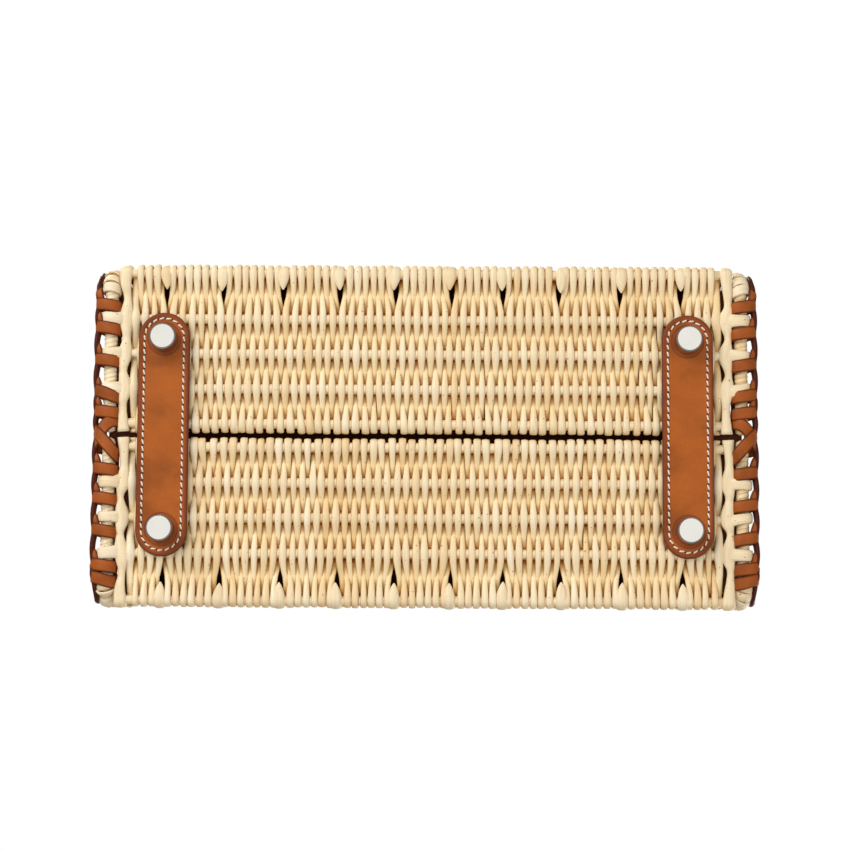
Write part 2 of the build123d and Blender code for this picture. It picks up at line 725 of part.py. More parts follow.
def handle_pin(x):
    """Pin with a flat head at each end."""
    span = HANDLE_D + 2 * EAR_PLAY + 2 * EAR_T + 2 * HANDLE_PIN_PLAY
    pin = Cylinder(HANDLE_PIN_D / 2, span)
    pin += Pos(0, 0, (span + HANDLE_PIN_HEAD_T) / 2) * Cylinder(HANDLE_PIN_HEAD_D / 2, HANDLE_PIN_HEAD_T)
    pin += Pos(0, 0, -(span + HANDLE_PIN_HEAD_T) / 2) * Cylinder(HANDLE_PIN_HEAD_D / 2, HANDLE_PIN_HEAD_T)
    return Pos(x, 0, pivot_z()) * Rot(0, 90, 0) * pin


def handle():
    """Rolled leather handle with an eye at each end."""
    half = HANDLE_SPAN / 2
    low = pivot_z()
    high = low + HANDLE_RISE
    corners = [(-half, 0, low), (-half, 0, high), (half, 0, high), (half, 0, low)]
    path = FilletPolyline(*corners, radius=HANDLE_BEND_R)
    rod = sweep(Plane(origin=path @ 0, z_dir=path % 0) * Circle(HANDLE_D / 2), path=path)
    for x in (-half, half):
        eye = Pos(x, 0, low) * Rot(0, 90, 0) * Cylinder(EYE_D / 2, EYE_W)
        bore = Pos(x, 0, low) * Rot(0, 90, 0) * Cylinder(HANDLE_PIN_D / 2 + HANDLE_PIN_PLAY, 2 * HANDLE_D)
        rod = rod + eye - bore
    return rod


def mount_rivet_planes():
    """Two rivets in each handle plate, outside its ears."""
    xs = [side * HANDLE_SPAN / 2 + k * PLATE_RIVET_X for side in (-1, 1) for k in (-1, 1)]
    z = plate_top() + GLUE
    return [Plane(origin=(x, PLATE_RIVET_Y, z), x_dir=(1, 0, 0), z_dir=(0, 0, 1)) for x in xs]


def mount_rivet_length():
    """From the plate's face through patch, mat and lid lining."""
    return plate_top() + 2 * GLUE - (lid_mat_low() - GLUE - LINING_T)


def rivets(planes, length):
    """A group of like rivets."""
    return [rivet(plane, length) for plane in planes]


def drills(planes, length):
    """Their clearance holes."""
    return [rivet_drill(plane, length) for plane in planes]


def burr_pockets(planes, length):
    """Room for the burrs that end inside the lid's lower leather."""
    radius = RIVET_HEAD_D / 2 + RIVET_PLAY
    pocket_l = RIVET_HEAD_H + 2 * RIVET_PLAY
    return [plane * Pos(0, 0, -length - RIVET_HEAD_H / 2) * Cylinder(radius, pocket_l) for plane in planes]


def mirrored(shapes, plane):
    """The same shapes on the other side of a plane."""
    return [mirror(shape, about=plane) for shape in shapes]


def body_parts():
    """Everything that stands still."""
    holes = shank_holes()
    back_drills = mirrored(drills(body_rivet_planes(), body_rivet_length()), Plane.XZ)
    stem_drill = wall_plane(0, clasp_z(), WALL_T / 2) * Cylinder(CLASP_STEM_D / 2 + RIVET_PLAY, 4 * WALL_T)
    front = front_basket()
    lacing = right_lacing()
    gusset = right_gusset()
    rim = front_rim_binding()
    parts = {
        "front_basket": front - holes - stem_drill,
        "back_basket": mirror(front, about=Plane.XZ) - holes - back_drills,
        "lining": lining() - holes - back_drills - stem_drill,
        "right_gusset": gusset,
        "left_gusset": mirror(gusset, about=Plane.YZ),
        "right_lacing": lacing,
        "left_lacing": mirror(lacing, about=Plane.YZ),
        "front_rim_binding": rim,
        "back_rim_binding": mirror(rim, about=Plane.XZ) - back_drills,
        "foot_washers": foot_washers(),
        "foot_nuts": foot_nuts(),
        "hinge_body_rivets": mirrored(rivets(body_rivet_planes(), body_rivet_length()), Plane.XZ),
        "clasp_base": clasp_base(),
        "clasp_washer": clasp_washer(),
    }
    for name, x in zip(("left", "right"), tab_positions()):
        parts[name + "_base_tab"] = base_tab(x) - holes
    for name, (x, y) in foot_places().items():
        parts[name] = foot(x, y)
    for name, x in (("left", -HINGE_X), ("right", HINGE_X)):
        parts[name + "_hinge_body_leaf"] = hinge_body_leaf(x) - back_drills
        parts[name + "_hinge_pin"] = hinge_pin(x)
    return parts


def lid_parts():
    """Everything that swings with the lid."""
    leaf_drills = drills(lid_rivet_planes(), lid_rivet_length())
    tab_drills = drills(tab_rivet_planes(), tab_rivet_length())
    mount_drills = drills(mount_rivet_planes(), mount_rivet_length())
    pockets = burr_pockets(lid_rivet_planes(), lid_rivet_length())
    pockets += burr_pockets(tab_rivet_planes(), tab_rivet_length())
    magnet_drill = clasp_disc(tab_inset() + WALL_T, CLASP_STEM_D / 2 + RIVET_PLAY, 2 * WALL_T)
    parts = {
        "lid_basket": lid_basket() - leaf_drills - tab_drills - mount_drills,
        "lid_binding": lid_binding() - leaf_drills - tab_drills - pockets,
        "lid_lining": lid_lining() - mount_drills,
        "hinge_lid_rivets": rivets(lid_rivet_planes(), lid_rivet_length()),
        "clasp_tab": clasp_tab() - tab_drills - magnet_drill,
        "clasp_magnet": clasp_magnet(),
        "clasp_cap": clasp_cap(),
        "tab_rivets": rivets(tab_rivet_planes(), tab_rivet_length()),
        "handle_mount_rivets": rivets(mount_rivet_planes(), mount_rivet_length()),
    }
    for name, x in (("left", -HINGE_X), ("right", HINGE_X)):
        parts[name + "_hinge_lid_leaf"] = hinge_lid_leaf(x) - leaf_drills
    for name, x in (("left", -HANDLE_SPAN / 2), ("right", HANDLE_SPAN / 2)):
        parts[name + "_handle_patch"] = handle_patch(x) - mount_drills
        parts[name + "_handle_mount"] = handle_mount(x) - mount_drills
        parts[name + "_handle_pin"] = handle_pin(x)
    return parts


def write(name, shape):
    """One STEP file for one sub-part; a list becomes a group of separate solids."""
    solids = []
    for piece in shape if isinstance(shape, list) else [shape]:
        solids += piece.solids()
    export_step(solids[0] if len(solids) == 1 else Compound(children=solids), f"parts/{name}.step")
    print(name, len(solids))


def main():
    os.makedirs("parts", exist_ok=True)
    parts = {**body_parts(), **lid_parts(), "handle": handle()}
    for name, shape in parts.items():
        write(name, shape)


main()
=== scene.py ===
"""Finishes of a small wicker box bag: woven willow, laced and stitched leather, plated fittings."""
import math
import random

import bmesh
import bpy
import numpy as np
from mathutils import Matrix, Vector


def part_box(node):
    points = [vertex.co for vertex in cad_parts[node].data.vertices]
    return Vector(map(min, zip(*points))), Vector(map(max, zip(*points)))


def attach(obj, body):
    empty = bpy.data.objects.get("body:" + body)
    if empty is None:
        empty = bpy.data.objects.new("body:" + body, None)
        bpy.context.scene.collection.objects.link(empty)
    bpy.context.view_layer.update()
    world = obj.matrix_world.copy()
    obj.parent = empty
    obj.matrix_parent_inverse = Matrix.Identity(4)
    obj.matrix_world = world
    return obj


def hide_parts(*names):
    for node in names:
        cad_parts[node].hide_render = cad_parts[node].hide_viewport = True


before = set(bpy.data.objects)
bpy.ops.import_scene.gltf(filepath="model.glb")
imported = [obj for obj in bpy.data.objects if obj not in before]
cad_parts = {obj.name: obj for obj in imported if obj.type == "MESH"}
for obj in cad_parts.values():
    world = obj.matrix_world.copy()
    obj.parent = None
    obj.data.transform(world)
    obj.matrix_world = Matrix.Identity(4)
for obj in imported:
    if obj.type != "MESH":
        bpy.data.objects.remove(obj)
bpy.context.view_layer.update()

bl_info = {
    "name": "Basket box bag",
    "version": (1, 0, 0),
    "blender": (4, 5, 0),
    "location": "3D View > Sidebar > Bag",
    "description": "Builds the woven, laced and stitched pieces of a small wicker box bag",
    "category": "Object",
}

MM = 0.001  # one millimetre, in metres; every length below is in millimetres

# Base mats
STICK_D = 3.1
STICK_Z = 10.35
STICK_YS = [3.6, 14.38, 25.17, 35.95, 50.15]
BASE_RISE = 1.9  # a strand's middle above the sticks' middle, where it crosses one
OUTER_W = 2.35  # outer face of the weave above the sticks' middle
PITCH = 1.43
SEAM_REACH = 2.55
MAT_HALF = 87.4
MAT_EDGE = 92.1
TIP_ROOM = 1.25  # each side of a stake tip

# Walls
WALL_TAN = math.tan(math.radians(8))
WALL_COS = math.cos(math.radians(8))
WALL_SIN = math.sin(math.radians(8))
SIDE_TAN = math.tan(math.radians(3))
FLOOR_Z = 12.7
FLOOR_Y = 52.5
WALL_T = 5.2
STAKE_D = 3.4
WALL_RISE = 2.15
STAKE_XS = [-79.8, -62.2, -44.1, -26.6, -9.6, 7.4, 23.4, 41.3, 60.0, 77.9]
WALL_TOP = 136.0
ROW_TOP = 128.0

# Edge rods
ROD_X = 96.5
ROD_R = 2.1
WRAP_R = 2.55
HEEL_Y = 50.2
ROD_TOP_Z = 137.3
ROD_BEND = 6.0
ROD_START = 0.75  # from the seam
BAND_STEP = 11.7  # from one wrapped band to the next, up the wall

# Lid
LID_MAT_Z = 143.3
LID_STICK_STEP = 10.78

# Tabs under the base, and the feet in them
TAB_HALF_W = 7.8
TAB_HALF_L = 37.25
TAB_TOP = 8.0
TAB_FACE = 6.0
TAB_SEAM = 1.8  # the stitches' distance from the tab's edge
FOOT_X = 79.8
FOOT_Y = 29.1

# Camera, in metres: under the bag and a little behind it, looking up at the base
CAMERA_AT = (0.0, 0.0898, -0.7231)
CAMERA_AIM = (0.0, -0.0031, 0.008)

# Finishes that several pieces share
WILLOW = "peeled_willow_varnished"
CALF = "tan_calf_smooth"
THONG = "thong_waxed"


class BagSizes(bpy.types.PropertyGroup):
    strand_wide: bpy.props.FloatProperty(
        name="Strand width", description="Willow skein where it crosses a stick",
        default=0.00222, min=0.0005, unit="LENGTH", precision=5)
    strand_thick: bpy.props.FloatProperty(
        name="Strand thickness", description="Willow skein, back to face",
        default=0.0009, min=0.0002, unit="LENGTH", precision=5)
    lace_wide: bpy.props.FloatProperty(
        name="Lace width", description="Leather thong that laces the ends",
        default=0.0039, min=0.001, unit="LENGTH", precision=5)
    stitch_pitch: bpy.props.FloatProperty(
        name="Stitch pitch", description="From one saddle stitch to the next",
        default=0.00214, min=0.001, unit="LENGTH", precision=5)
    seed: bpy.props.IntProperty(
        name="Seed", description="Changes the random lie of the strands", default=7, min=0)


def linear(code):
    """A colour's sRGB hex value as linear red, green, blue and one."""
    parts = [int(code[i:i + 2], 16) / 255 for i in (1, 3, 5)]
    return [p / 12.92 if p <= 0.04045 else ((p + 0.055) / 1.055) ** 2.4 for p in parts] + [1.0]


def colour(label, description, code):
    return bpy.props.FloatVectorProperty(
        name=label, description=description, subtype="COLOR", size=4, min=0, max=1, default=linear(code))


class BagColours(bpy.types.PropertyGroup):
    willow: colour("Willow", "Peeled willow, most strands", "#EFDBB5")
    willow_pale: colour("Pale willow", "The lightest strands", "#F4E5C6")
    willow_warm: colour("Warm willow", "The darkest strands", "#E9CD9E")
    tan: colour("Tan calf", "Base tabs, bindings, clasp tab and handle", "#A8581F")
    lace: colour("Lace", "Laced thong", "#A0521F")
    gusset: colour("Gusset", "Folded ends", "#6E3418")
    burnish: colour("Burnished edge", "Cut and rubbed leather edges", "#6A3020")
    lining: colour("Lining", "Dark leather inside", "#2A0E05")
    thread: colour("Thread", "Waxed linen", "#F6EFE2")


# ---------------------------------------------------------------- materials


def add(tree, kind, inputs=None, stops=None, **settings):
    """Adds one shader node with its settings, and links or sets its inputs."""
    node = tree.nodes.new("ShaderNode" + kind)
    for key, value in settings.items():
        setattr(node, key, value)
    for key, value in (inputs or {}).items():
        if isinstance(value, bpy.types.NodeSocket):
            tree.links.new(value, node.inputs[key])
        else:
            node.inputs[key].default_value = value
    if stops:
        band = node.color_ramp
        while len(band.elements) < len(stops):
            band.elements.new(0.5)
        for element, (position, value) in zip(band.elements, stops):
            element.position = position
            element.color = value
    return node


# The next functions add one kind of node each, and give the output that is used


def attribute(tree, name, output="Fac"):
    return add(tree, "Attribute", attribute_name=name).outputs[output]


def in_object(tree):
    return add(tree, "TexCoord").outputs["Object"]


def maths(tree, operation, *values):
    return add(tree, "Math", dict(enumerate(values)), operation=operation).outputs[0]


def noise(tree, vector, scale, detail=2.0, roughness=0.5):
    return add(tree, "TexNoise", {"Vector": vector, "Scale": scale, "Detail": detail,
                                  "Roughness": roughness}).outputs["Fac"]


def remap(tree, value, low, high, to_low, to_high):
    return add(tree, "MapRange", {"Value": value, "From Min": low, "From Max": high, "To Min": to_low,
                                  "To Max": to_high}).outputs[0]


def ramp(tree, value, stops):
    return add(tree, "ValToRGB", {"Fac": value}, stops).outputs["Color"]


def mix(tree, share, first, second, blend="MIX"):
    return add(tree, "Mix", {0: share, 6: first, 7: second}, data_type="RGBA", blend_type=blend).outputs[2]


def new_material(name):
    material = bpy.data.materials.new(name)
    material.use_nodes = True
    return material, material.node_tree, material.node_tree.nodes["Principled BSDF"]


def dress(tree, shader, tint, gloss, height=None, strength=0.5, deep_mm=0.0):
    """Gives the shader its colour, its roughness and, where there is one, its relief."""
    tree.links.new(tint, shader.inputs["Base Color"])
    if isinstance(gloss, float):
        shader.inputs["Roughness"].default_value = gloss
    else:
        tree.links.new(gloss, shader.inputs["Roughness"])
    if height:
        bump = add(tree, "Bump", {"Height": height, "Strength": strength, "Distance": deep_mm * MM})
        tree.links.new(bump.outputs[0], shader.inputs["Normal"])


def willow_material(name, colours, wrapped=False):
    """Peeled willow skein, split, shaved and varnished: silky, with long fibres and few specks."""
    material, tree, shader = new_material(name)
    grain, depth = attribute(tree, "grain", "Vector"), attribute(tree, "depth")
    tint = ramp(tree, attribute(tree, "strand"), [
        (0.0, colours.willow_warm), (0.3, colours.willow), (0.7, colours.willow), (1.0, colours.willow_pale)])
    # Fibres about 0.6 mm wide and 8 mm long
    stretched = add(tree, "VectorMath", {0: grain, 1: (0.13, 1.6, 1.6)}, operation="MULTIPLY").outputs[0]
    fibre = height = noise(tree, stretched, 1.0, 3.0)
    tint = mix(tree, remap(tree, fibre, 0.42, 0.78, 0.0, 0.34), tint, linear("#CF9E58"))
    # Bud scars and bark specks, under a millimetre across and some centimetres apart
    tint = mix(tree, remap(tree, noise(tree, grain, 1.1, 1.0), 0.73, 0.79, 0.0, 0.8), tint, linear("#A06E3C"))
    # Painted shade: brown, deepening to near black, where a strand dives behind its neighbours into the weave
    tint = mix(tree, 1.0, tint, ramp(tree, depth, [
        (0.0, (1, 1, 1, 1)), (0.42, (1.05, 1.0, 0.87, 1)), (0.58, (1.14, 0.98, 0.66, 1)),
        (0.67, (1.12, 0.78, 0.36, 1)), (0.74, (0.62, 0.28, 0.04, 1)), (0.82, (0.16, 0.05, 0.004, 1))]), "MULTIPLY")
    # Painted shade: browner along the strand's sides, where it meets its neighbours
    tint = mix(tree, attribute(tree, "edge"), tint, (0.62, 0.4, 0.18, 1), "MULTIPLY")
    if wrapped:
        # Turns of skein round a rod, 1.35 mm apart and a little slanted, with brown joints; the turns are painted
        # lighter than the willow, most of all at their middles, as painted light against the shade the bands cast
        # on the rod
        split = add(tree, "SeparateXYZ", {0: grain}).outputs
        turn = maths(tree, "DIVIDE", maths(tree, "MULTIPLY_ADD", split[1], 0.22, split[0]), 1.35)
        share = maths(tree, "FRACT", turn)
        tint = mix(tree, 0.8, tint, ramp(tree, share, [
            (0.0, (0.62, 0.42, 0.22, 1)), (0.12, (1.04, 0.97, 0.84, 1)), (0.5, (1.12, 1.1, 1.06, 1)),
            (0.9, (1.06, 1.02, 0.95, 1)), (1.0, (0.62, 0.42, 0.22, 1))]), "MULTIPLY")
        height = maths(tree, "SINE", maths(tree, "MULTIPLY", share, math.pi))
    dress(tree, shader, tint, remap(tree, fibre, 0.0, 1.0, 0.42, 0.6), height, 0.7, 0.2 if wrapped else 0.06)
    # Weaker specular deep in the weave, so that the painted shade there takes no highlight
    tree.links.new(remap(tree, depth, 0.5, 0.75, 0.4, 0.03), shader.inputs["Specular IOR Level"])
    shader.inputs["IOR"].default_value = 1.5
    return material


def foot_ring_shade(tree, in_mm):
    """Painted shade round each foot: a dark ring, 10.6 mm across, that stands for the ring the foot presses into
    the tab.
    """
    split = add(tree, "SeparateXYZ", {0: in_mm}).outputs
    off = [maths(tree, "SUBTRACT", maths(tree, "ABSOLUTE", split[axis]), place)
           for axis, place in enumerate((FOOT_X, FOOT_Y))]
    spread = add(tree, "CombineXYZ", {0: off[0], 1: off[1]}).outputs[0]
    reach = add(tree, "VectorMath", {0: spread}, operation="LENGTH").outputs["Value"]
    return ramp(tree, maths(tree, "DIVIDE", reach, 10.0), [
        (0.30, (0.6, 0.6, 0.6, 1)), (0.455, (0.3, 0.3, 0.3, 1)), (0.5, (0.75, 0.75, 0.75, 1)),
        (0.54, (0, 0, 0, 1))])


def leather_material(name, base, burnish, roughness, pore_mm, shine=0.16, ringed=False):
    """Aniline calf: even colour with soft clouds, fine pores, and dark rubbed edges."""
    material, tree, shader = new_material(name)
    in_mm = add(tree, "VectorMath", {0: in_object(tree), "Scale": 1 / MM}, operation="SCALE").outputs[0]
    darker = [c * 0.72 for c in base[:3]] + [1.0]
    lighter = [min(1.0, c * 1.16) for c in base[:3]] + [1.0]
    tint = ramp(tree, noise(tree, in_mm, 0.11, 3.0), [(0.32, darker), (0.5, base), (0.7, lighter)])
    mottle = noise(tree, in_mm, 1 / (1.6 * pore_mm), 4.0, 0.65)
    tint = mix(tree, remap(tree, mottle, 0.35, 0.72, 0.0, 0.38), tint, darker)
    tint = mix(tree, attribute(tree, "edge"), tint, burnish)
    # Painted shade: a dark ring round each foot
    if ringed:
        tint = mix(tree, foot_ring_shade(tree, in_mm), tint, burnish)
    pores = add(tree, "TexVoronoi", {"Vector": in_mm, "Scale": 1 / pore_mm}, feature="DISTANCE_TO_EDGE")
    dress(tree, shader, tint, remap(tree, mottle, 0.0, 1.0, roughness - 0.07, roughness + 0.1),
          maths(tree, "ADD", pores.outputs["Distance"], mottle), 0.5, 0.07)
    shader.inputs["IOR"].default_value = 1.45
    shader.inputs["Specular IOR Level"].default_value = shine
    return material


def thread_material(colours):
    """Waxed linen thread of two plies, whose twist shows as slanting ridges."""
    material, tree, shader = new_material("waxed_linen_thread")
    twist = add(tree, "TexWave", {"Vector": attribute(tree, "grain", "Vector"), "Scale": 0.9, "Distortion": 0.6},
                bands_direction="DIAGONAL").outputs["Fac"]
    dress(tree, shader, mix(tree, twist, linear("#DCCFB8"), colours.thread), 0.6, twist, 0.5, 0.05)
    return material


def hole_material():
    """Awl holes between the stitches: raw leather in shadow."""
    material, tree, shader = new_material("awl_hole_leather")
    fray = noise(tree, in_object(tree), 2.0 / MM)
    dress(tree, shader, mix(tree, fray, linear("#2A1008"), linear("#4A2012")), 0.8)
    return material


def metal_material(name, tint, low, high, smear_mm):
    """Metal whose gloss changes softly, as wiped or brushed fittings do."""
    material, tree, shader = new_material(name)
    smear = noise(tree, in_object(tree), 1 / (smear_mm * MM), 3.0)
    worn = mix(tree, smear, tint, [c * 0.93 for c in tint[:3]] + [1.0])
    dress(tree, shader, worn, remap(tree, smear, 0.3, 0.7, low, high))
    shader.inputs["Metallic"].default_value = 1.0
    return material


def materials():
    """All finishes of the bag, made once."""
    if WILLOW not in bpy.data.materials:
        colours = bpy.context.scene.bag_colours
        tan, burnish = list(colours.tan), list(colours.burnish)
        willow_material(WILLOW, colours)
        willow_material("willow_wrapped_rod", colours, wrapped=True)
        leather_material(CALF, tan, burnish, 0.42, 0.45)
        leather_material("tan_calf_tab", tan, burnish, 0.42, 0.45, ringed=True)
        leather_material(THONG, list(colours.lace), linear("#421408"), 0.4, 0.5)
        leather_material("calf_gusset", list(colours.gusset), burnish, 0.46, 0.6)
        leather_material("lining_leather_dark", list(colours.lining), linear("#1C0804"), 0.7, 0.7, 0.05)
        thread_material(colours)
        hole_material()
        metal_material("nickel_plate_polished", linear("#DEDCD6"), 0.05, 0.12, 5.0)
        metal_material("plain_steel_brushed", linear("#B4B4B2"), 0.3, 0.42, 1.2)
    return bpy.data.materials


# ---------------------------------------------------------------- shapes


def section(half_wide, half_thick, count=8, squareness=0.8):
    """Outline of a strip or cord; a squareness of 1 is an ellipse, and less is boxier."""
    points = []
    for k in range(count):
        angle = 2 * math.pi * k / count
        x, y = math.cos(angle), math.sin(angle)
        points.append((half_wide * math.copysign(abs(x) ** squareness, x),
                       half_thick * math.copysign(abs(y) ** squareness, y)))
    return points


def ease(value):
    value = min(1.0, max(0.0, value))
    return value * value * (3 - 2 * value)


def smooth_line(points, steps):
    """Tuples on a smooth line through the given tuples, whatever their length."""
    ends = [points[0]] + list(points) + [points[-1]]
    line = []
    for a, b, c, d in zip(ends[:-3], ends[1:-2], ends[2:-1], ends[3:]):
        for k in range(steps):
            t = k / steps
            line.append(tuple(
                0.5 * (2 * q + (r - p) * t + (2 * p - 5 * q + 4 * r - s) * t * t + (3 * q - p - 3 * r + s) * t ** 3)
                for p, q, r, s in zip(a, b, c, d)))
    line.append(tuple(points[-1]))
    return line


def tilts(points, faces, closed):
    """Tilt of each point that turns a strip's face towards its own direction."""
    spots = [Vector(p[:3]) for p in points]
    steps = [(b - a).normalized() for a, b in zip(spots, spots[1:] + spots[:1])]
    if not closed:
        steps[-1] = steps[-2]
    before = [steps[-1] if closed else steps[0]] + steps[:-1]
    ways = [(a + b).normalized() for a, b in zip(before, steps)]
    flat = ways[0].cross(Vector((0, 0, 1)) - ways[0] * ways[0].z).normalized()
    values = []
    for k, way in enumerate(ways):
        if k:
            flat.rotate(ways[k - 1].rotation_difference(way))
        wanted = way.cross(Vector(faces[k]))
        tilt = math.atan2(way.dot(flat.cross(wanted)), flat.dot(wanted))
        if values:
            tilt += 2 * math.pi * round((values[-1] - tilt) / (2 * math.pi))
        values.append(tilt)
    return values


def sweep(name, runs, outline, finishes, rng, depth=None, closed=False):
    """One mesh that draws the outline along each run. A run holds its (x, y, z, size) points, in millimetres,
    and may hold the way each point's face looks, its finish and how dark its edges are."""
    ring = bpy.data.curves.new(name + "_outline", "CURVE")
    ring.dimensions = "2D"
    loop = ring.splines.new("POLY")
    loop.points.add(len(outline) - 1)
    for point, (x, y) in zip(loop.points, outline):
        point.co = (x * MM, y * MM, 0, 1)
    loop.use_cyclic_u = True
    ring_object = bpy.data.objects.new(ring.name, ring)
    curve = bpy.data.curves.new(name + "_runs", "CURVE")
    curve.dimensions = "3D"
    curve.twist_mode = "MINIMUM"
    curve.bevel_mode = "OBJECT"
    curve.bevel_object = ring_object
    for finish in finishes:
        curve.materials.append(materials()[finish])
    for run in runs:
        points = run["points"]
        spline = curve.splines.new("POLY")
        spline.points.add(len(points) - 1)
        spline.points.foreach_set("co", [v for p in points for v in (p[0] * MM, p[1] * MM, p[2] * MM, 1.0)])
        spline.points.foreach_set("radius", [p[3] for p in points])
        if "faces" in run:
            spline.points.foreach_set("tilt", tilts(points, run["faces"], closed))
        spline.use_cyclic_u = closed
        spline.material_index = run.get("finish", 0)
        spline.use_smooth = True
    drawn = bpy.data.objects.new(name + "_runs", curve)
    for item in (ring_object, drawn):
        bpy.context.scene.collection.objects.link(item)
    bpy.context.view_layer.update()
    mesh = bpy.data.meshes.new_from_object(drawn.evaluated_get(bpy.context.evaluated_depsgraph_get()))
    for item, data in ((drawn, curve), (ring_object, ring)):
        bpy.data.objects.remove(item)
        bpy.data.curves.remove(data)
    mesh.name = name
    count = len(outline)
    if len(mesh.vertices) != count * sum(len(r["points"]) for r in runs):
        raise RuntimeError(f"{name}: {len(mesh.vertices)} vertices do not match its runs")
    strand, grain, edge = [], [], []
    half = max(abs(x) for x, _ in outline)
    for run in runs:
        shade = rng.random()
        along, last = rng.random() * 500, None
        for p in run["points"]:
            here = Vector(p[:3])
            along += (here - last).length if last is not None else 0.0
            last = here
            for x, y in outline:
                strand.append(shade)
                grain.extend((along, x * p[3] + 50 * shade, y * p[3]))
                edge.append(max(run.get("edge", 0.0), ease((abs(x) / half - 0.72) / 0.2) * run.get("rim", 0.0)))
    for label, kind, field, values in (("strand", "FLOAT", "value", strand), ("edge", "FLOAT", "value", edge),
                                       ("grain", "FLOAT_VECTOR", "vector", grain)):
        mesh.attributes.new(label, kind, "POINT").data.foreach_set(field, values)
    if depth:
        places = np.zeros(len(mesh.vertices) * 3, np.float32)
        mesh.vertices.foreach_get("co", places)
        mesh.attributes.new("depth", "FLOAT", "POINT").data.foreach_set(
            "value", np.clip(depth(places.reshape(-1, 3) / MM), 0, 1).astype(np.float32))
    if not closed:
        bm = bmesh.new()
        bm.from_mesh(mesh)
        bmesh.ops.holes_fill(bm, edges=[e for e in bm.edges if e.is_boundary], sides=0)
        bm.to_mesh(mesh)
        bm.free()
    return link(name, mesh)


def link(name, data):
    obj = bpy.data.objects.new(name, data)
    bpy.context.scene.collection.objects.link(obj)
    return obj


def link_shape(name, bm, material):
    mesh = bpy.data.meshes.new(name)
    bm.to_mesh(mesh)
    bm.free()
    mesh.materials.append(material)
    return link(name, mesh)


def finish_piece(obj, body, slot, *nodes):
    """The piece rides on its body and stands for its frame nodes, which it hides. The slot is not used."""
    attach(obj, body)
    if nodes:
        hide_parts(*nodes)
    return obj


def swept(name, runs, outline, finish, rng, node, depth=None, closed=False):
    """Sweeps runs of one finish into a piece that stands for a frame node."""
    body = "lid" if node.startswith("lid") else "body"
    slot = "lace_leather" if finish == THONG else "wicker"
    return finish_piece(sweep(name, runs, outline, [finish], rng, depth, closed), body, slot, node)


def soften_node(node, finish, body, slot="tan_leather", round_mm=0.3, fold_angle=30, rub_mm=0.5):
    """Makes a frame node's shape in leather: cut edges rounded and burnished."""
    bm = bmesh.new()
    bm.from_mesh(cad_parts[node].data)
    bmesh.ops.remove_doubles(bm, verts=bm.verts, dist=0.002 * MM)
    bmesh.ops.dissolve_limit(bm, angle_limit=math.radians(0.5), verts=bm.verts, edges=bm.edges)
    sharp = [e for e in bm.edges if len(e.link_faces) == 2 and e.calc_face_angle() > math.radians(fold_angle)]
    bmesh.ops.bevel(bm, geom=sharp, offset=round_mm * MM, offset_type="OFFSET", segments=2, profile=0.5,
                    affect="EDGES", clamp_overlap=True, material=-1)
    bmesh.ops.recalc_face_normals(bm, faces=bm.faces)
    broad = [f for f in bm.faces if min(e.calc_length() for e in f.edges) > 1.4 * MM or len(f.verts) > 8]
    bmesh.ops.inset_region(bm, faces=broad, thickness=rub_mm * MM, depth=0.0, use_boundary=True,
                           use_even_offset=False)
    layer = bm.verts.layers.float.new("edge")
    for vert in bm.verts:
        turns = [e.calc_face_angle() for e in vert.link_edges if len(e.link_faces) == 2]
        vert[layer] = 1.0 if turns and max(turns) > math.radians(18) else 0.0
    bmesh.ops.triangulate(bm, faces=[f for f in bm.faces if len(f.verts) > 4])
    for edge in bm.edges:
        edge.smooth = not (len(edge.link_faces) == 2 and edge.calc_face_angle() > math.radians(50))
    for face in bm.faces:
        face.smooth = True
        face.material_index = 0
    return finish_piece(link_shape(f"{node}_leather", bm, materials()[finish]), body, slot, node)


def wander(rng, count, most):
    """Slow random drift along a run, read at a place that is counted in steps."""
    values = [rng.uniform(-most, most) for _ in range(count)]

    def drift(place):
        place = min(count - 1.001, max(0.0, place))
        return values[int(place)] * (1 - place % 1) + values[int(place) + 1] * (place % 1)

    return drift


# ---------------------------------------------------------------- weaving


def weave_line(crossings, over, rise, steps, broad, narrow, rng):
    """(along, out, size) of one strand that goes over and under the crossings in turn."""
    sign = 1 if over else -1
    swell = [broad * rng.uniform(0.9, 1.1) for _ in crossings]
    line = []
    for k, (a, b) in enumerate(zip(crossings[:-1], crossings[1:])):
        for step in range(steps):
            t = step / steps
            phase = math.cos(math.pi * t)
            peak = swell[k] if t < 0.5 else swell[k + 1]
            out = math.copysign(abs(phase) ** 1.75, phase)
            line.append((a + (b - a) * t, sign * rise * out, narrow + (peak - narrow) * phase * phase))
        sign = -sign
    line.append((crossings[-1], sign * rise, swell[-1]))
    return line


def end_loop(at, away, rise, reach, size, turns=(28, 58, 90, 122, 150)):
    """The strand's turn round its last stick, away from the mat."""
    return [(at + away * reach * math.sin(math.radians(a)), rise * math.cos(math.radians(a)), size) for a in turns]


def squeezed(u, v):
    """Strands make room for the stake tips at the heel."""
    share = ease((v - 37.5) / 9.0)
    posts = [-MAT_HALF - 1] + STAKE_XS + [MAT_HALF + 1]
    for a, b in zip(posts[:-1], posts[1:]):
        if a <= u <= b:
            low = a + (TIP_ROOM if a != posts[0] else 0.0)
            high = b - (TIP_ROOM if b != posts[-1] else 0.0)
            return u + (low + (u - a) * (high - low) / (b - a) - u) * share
    return u


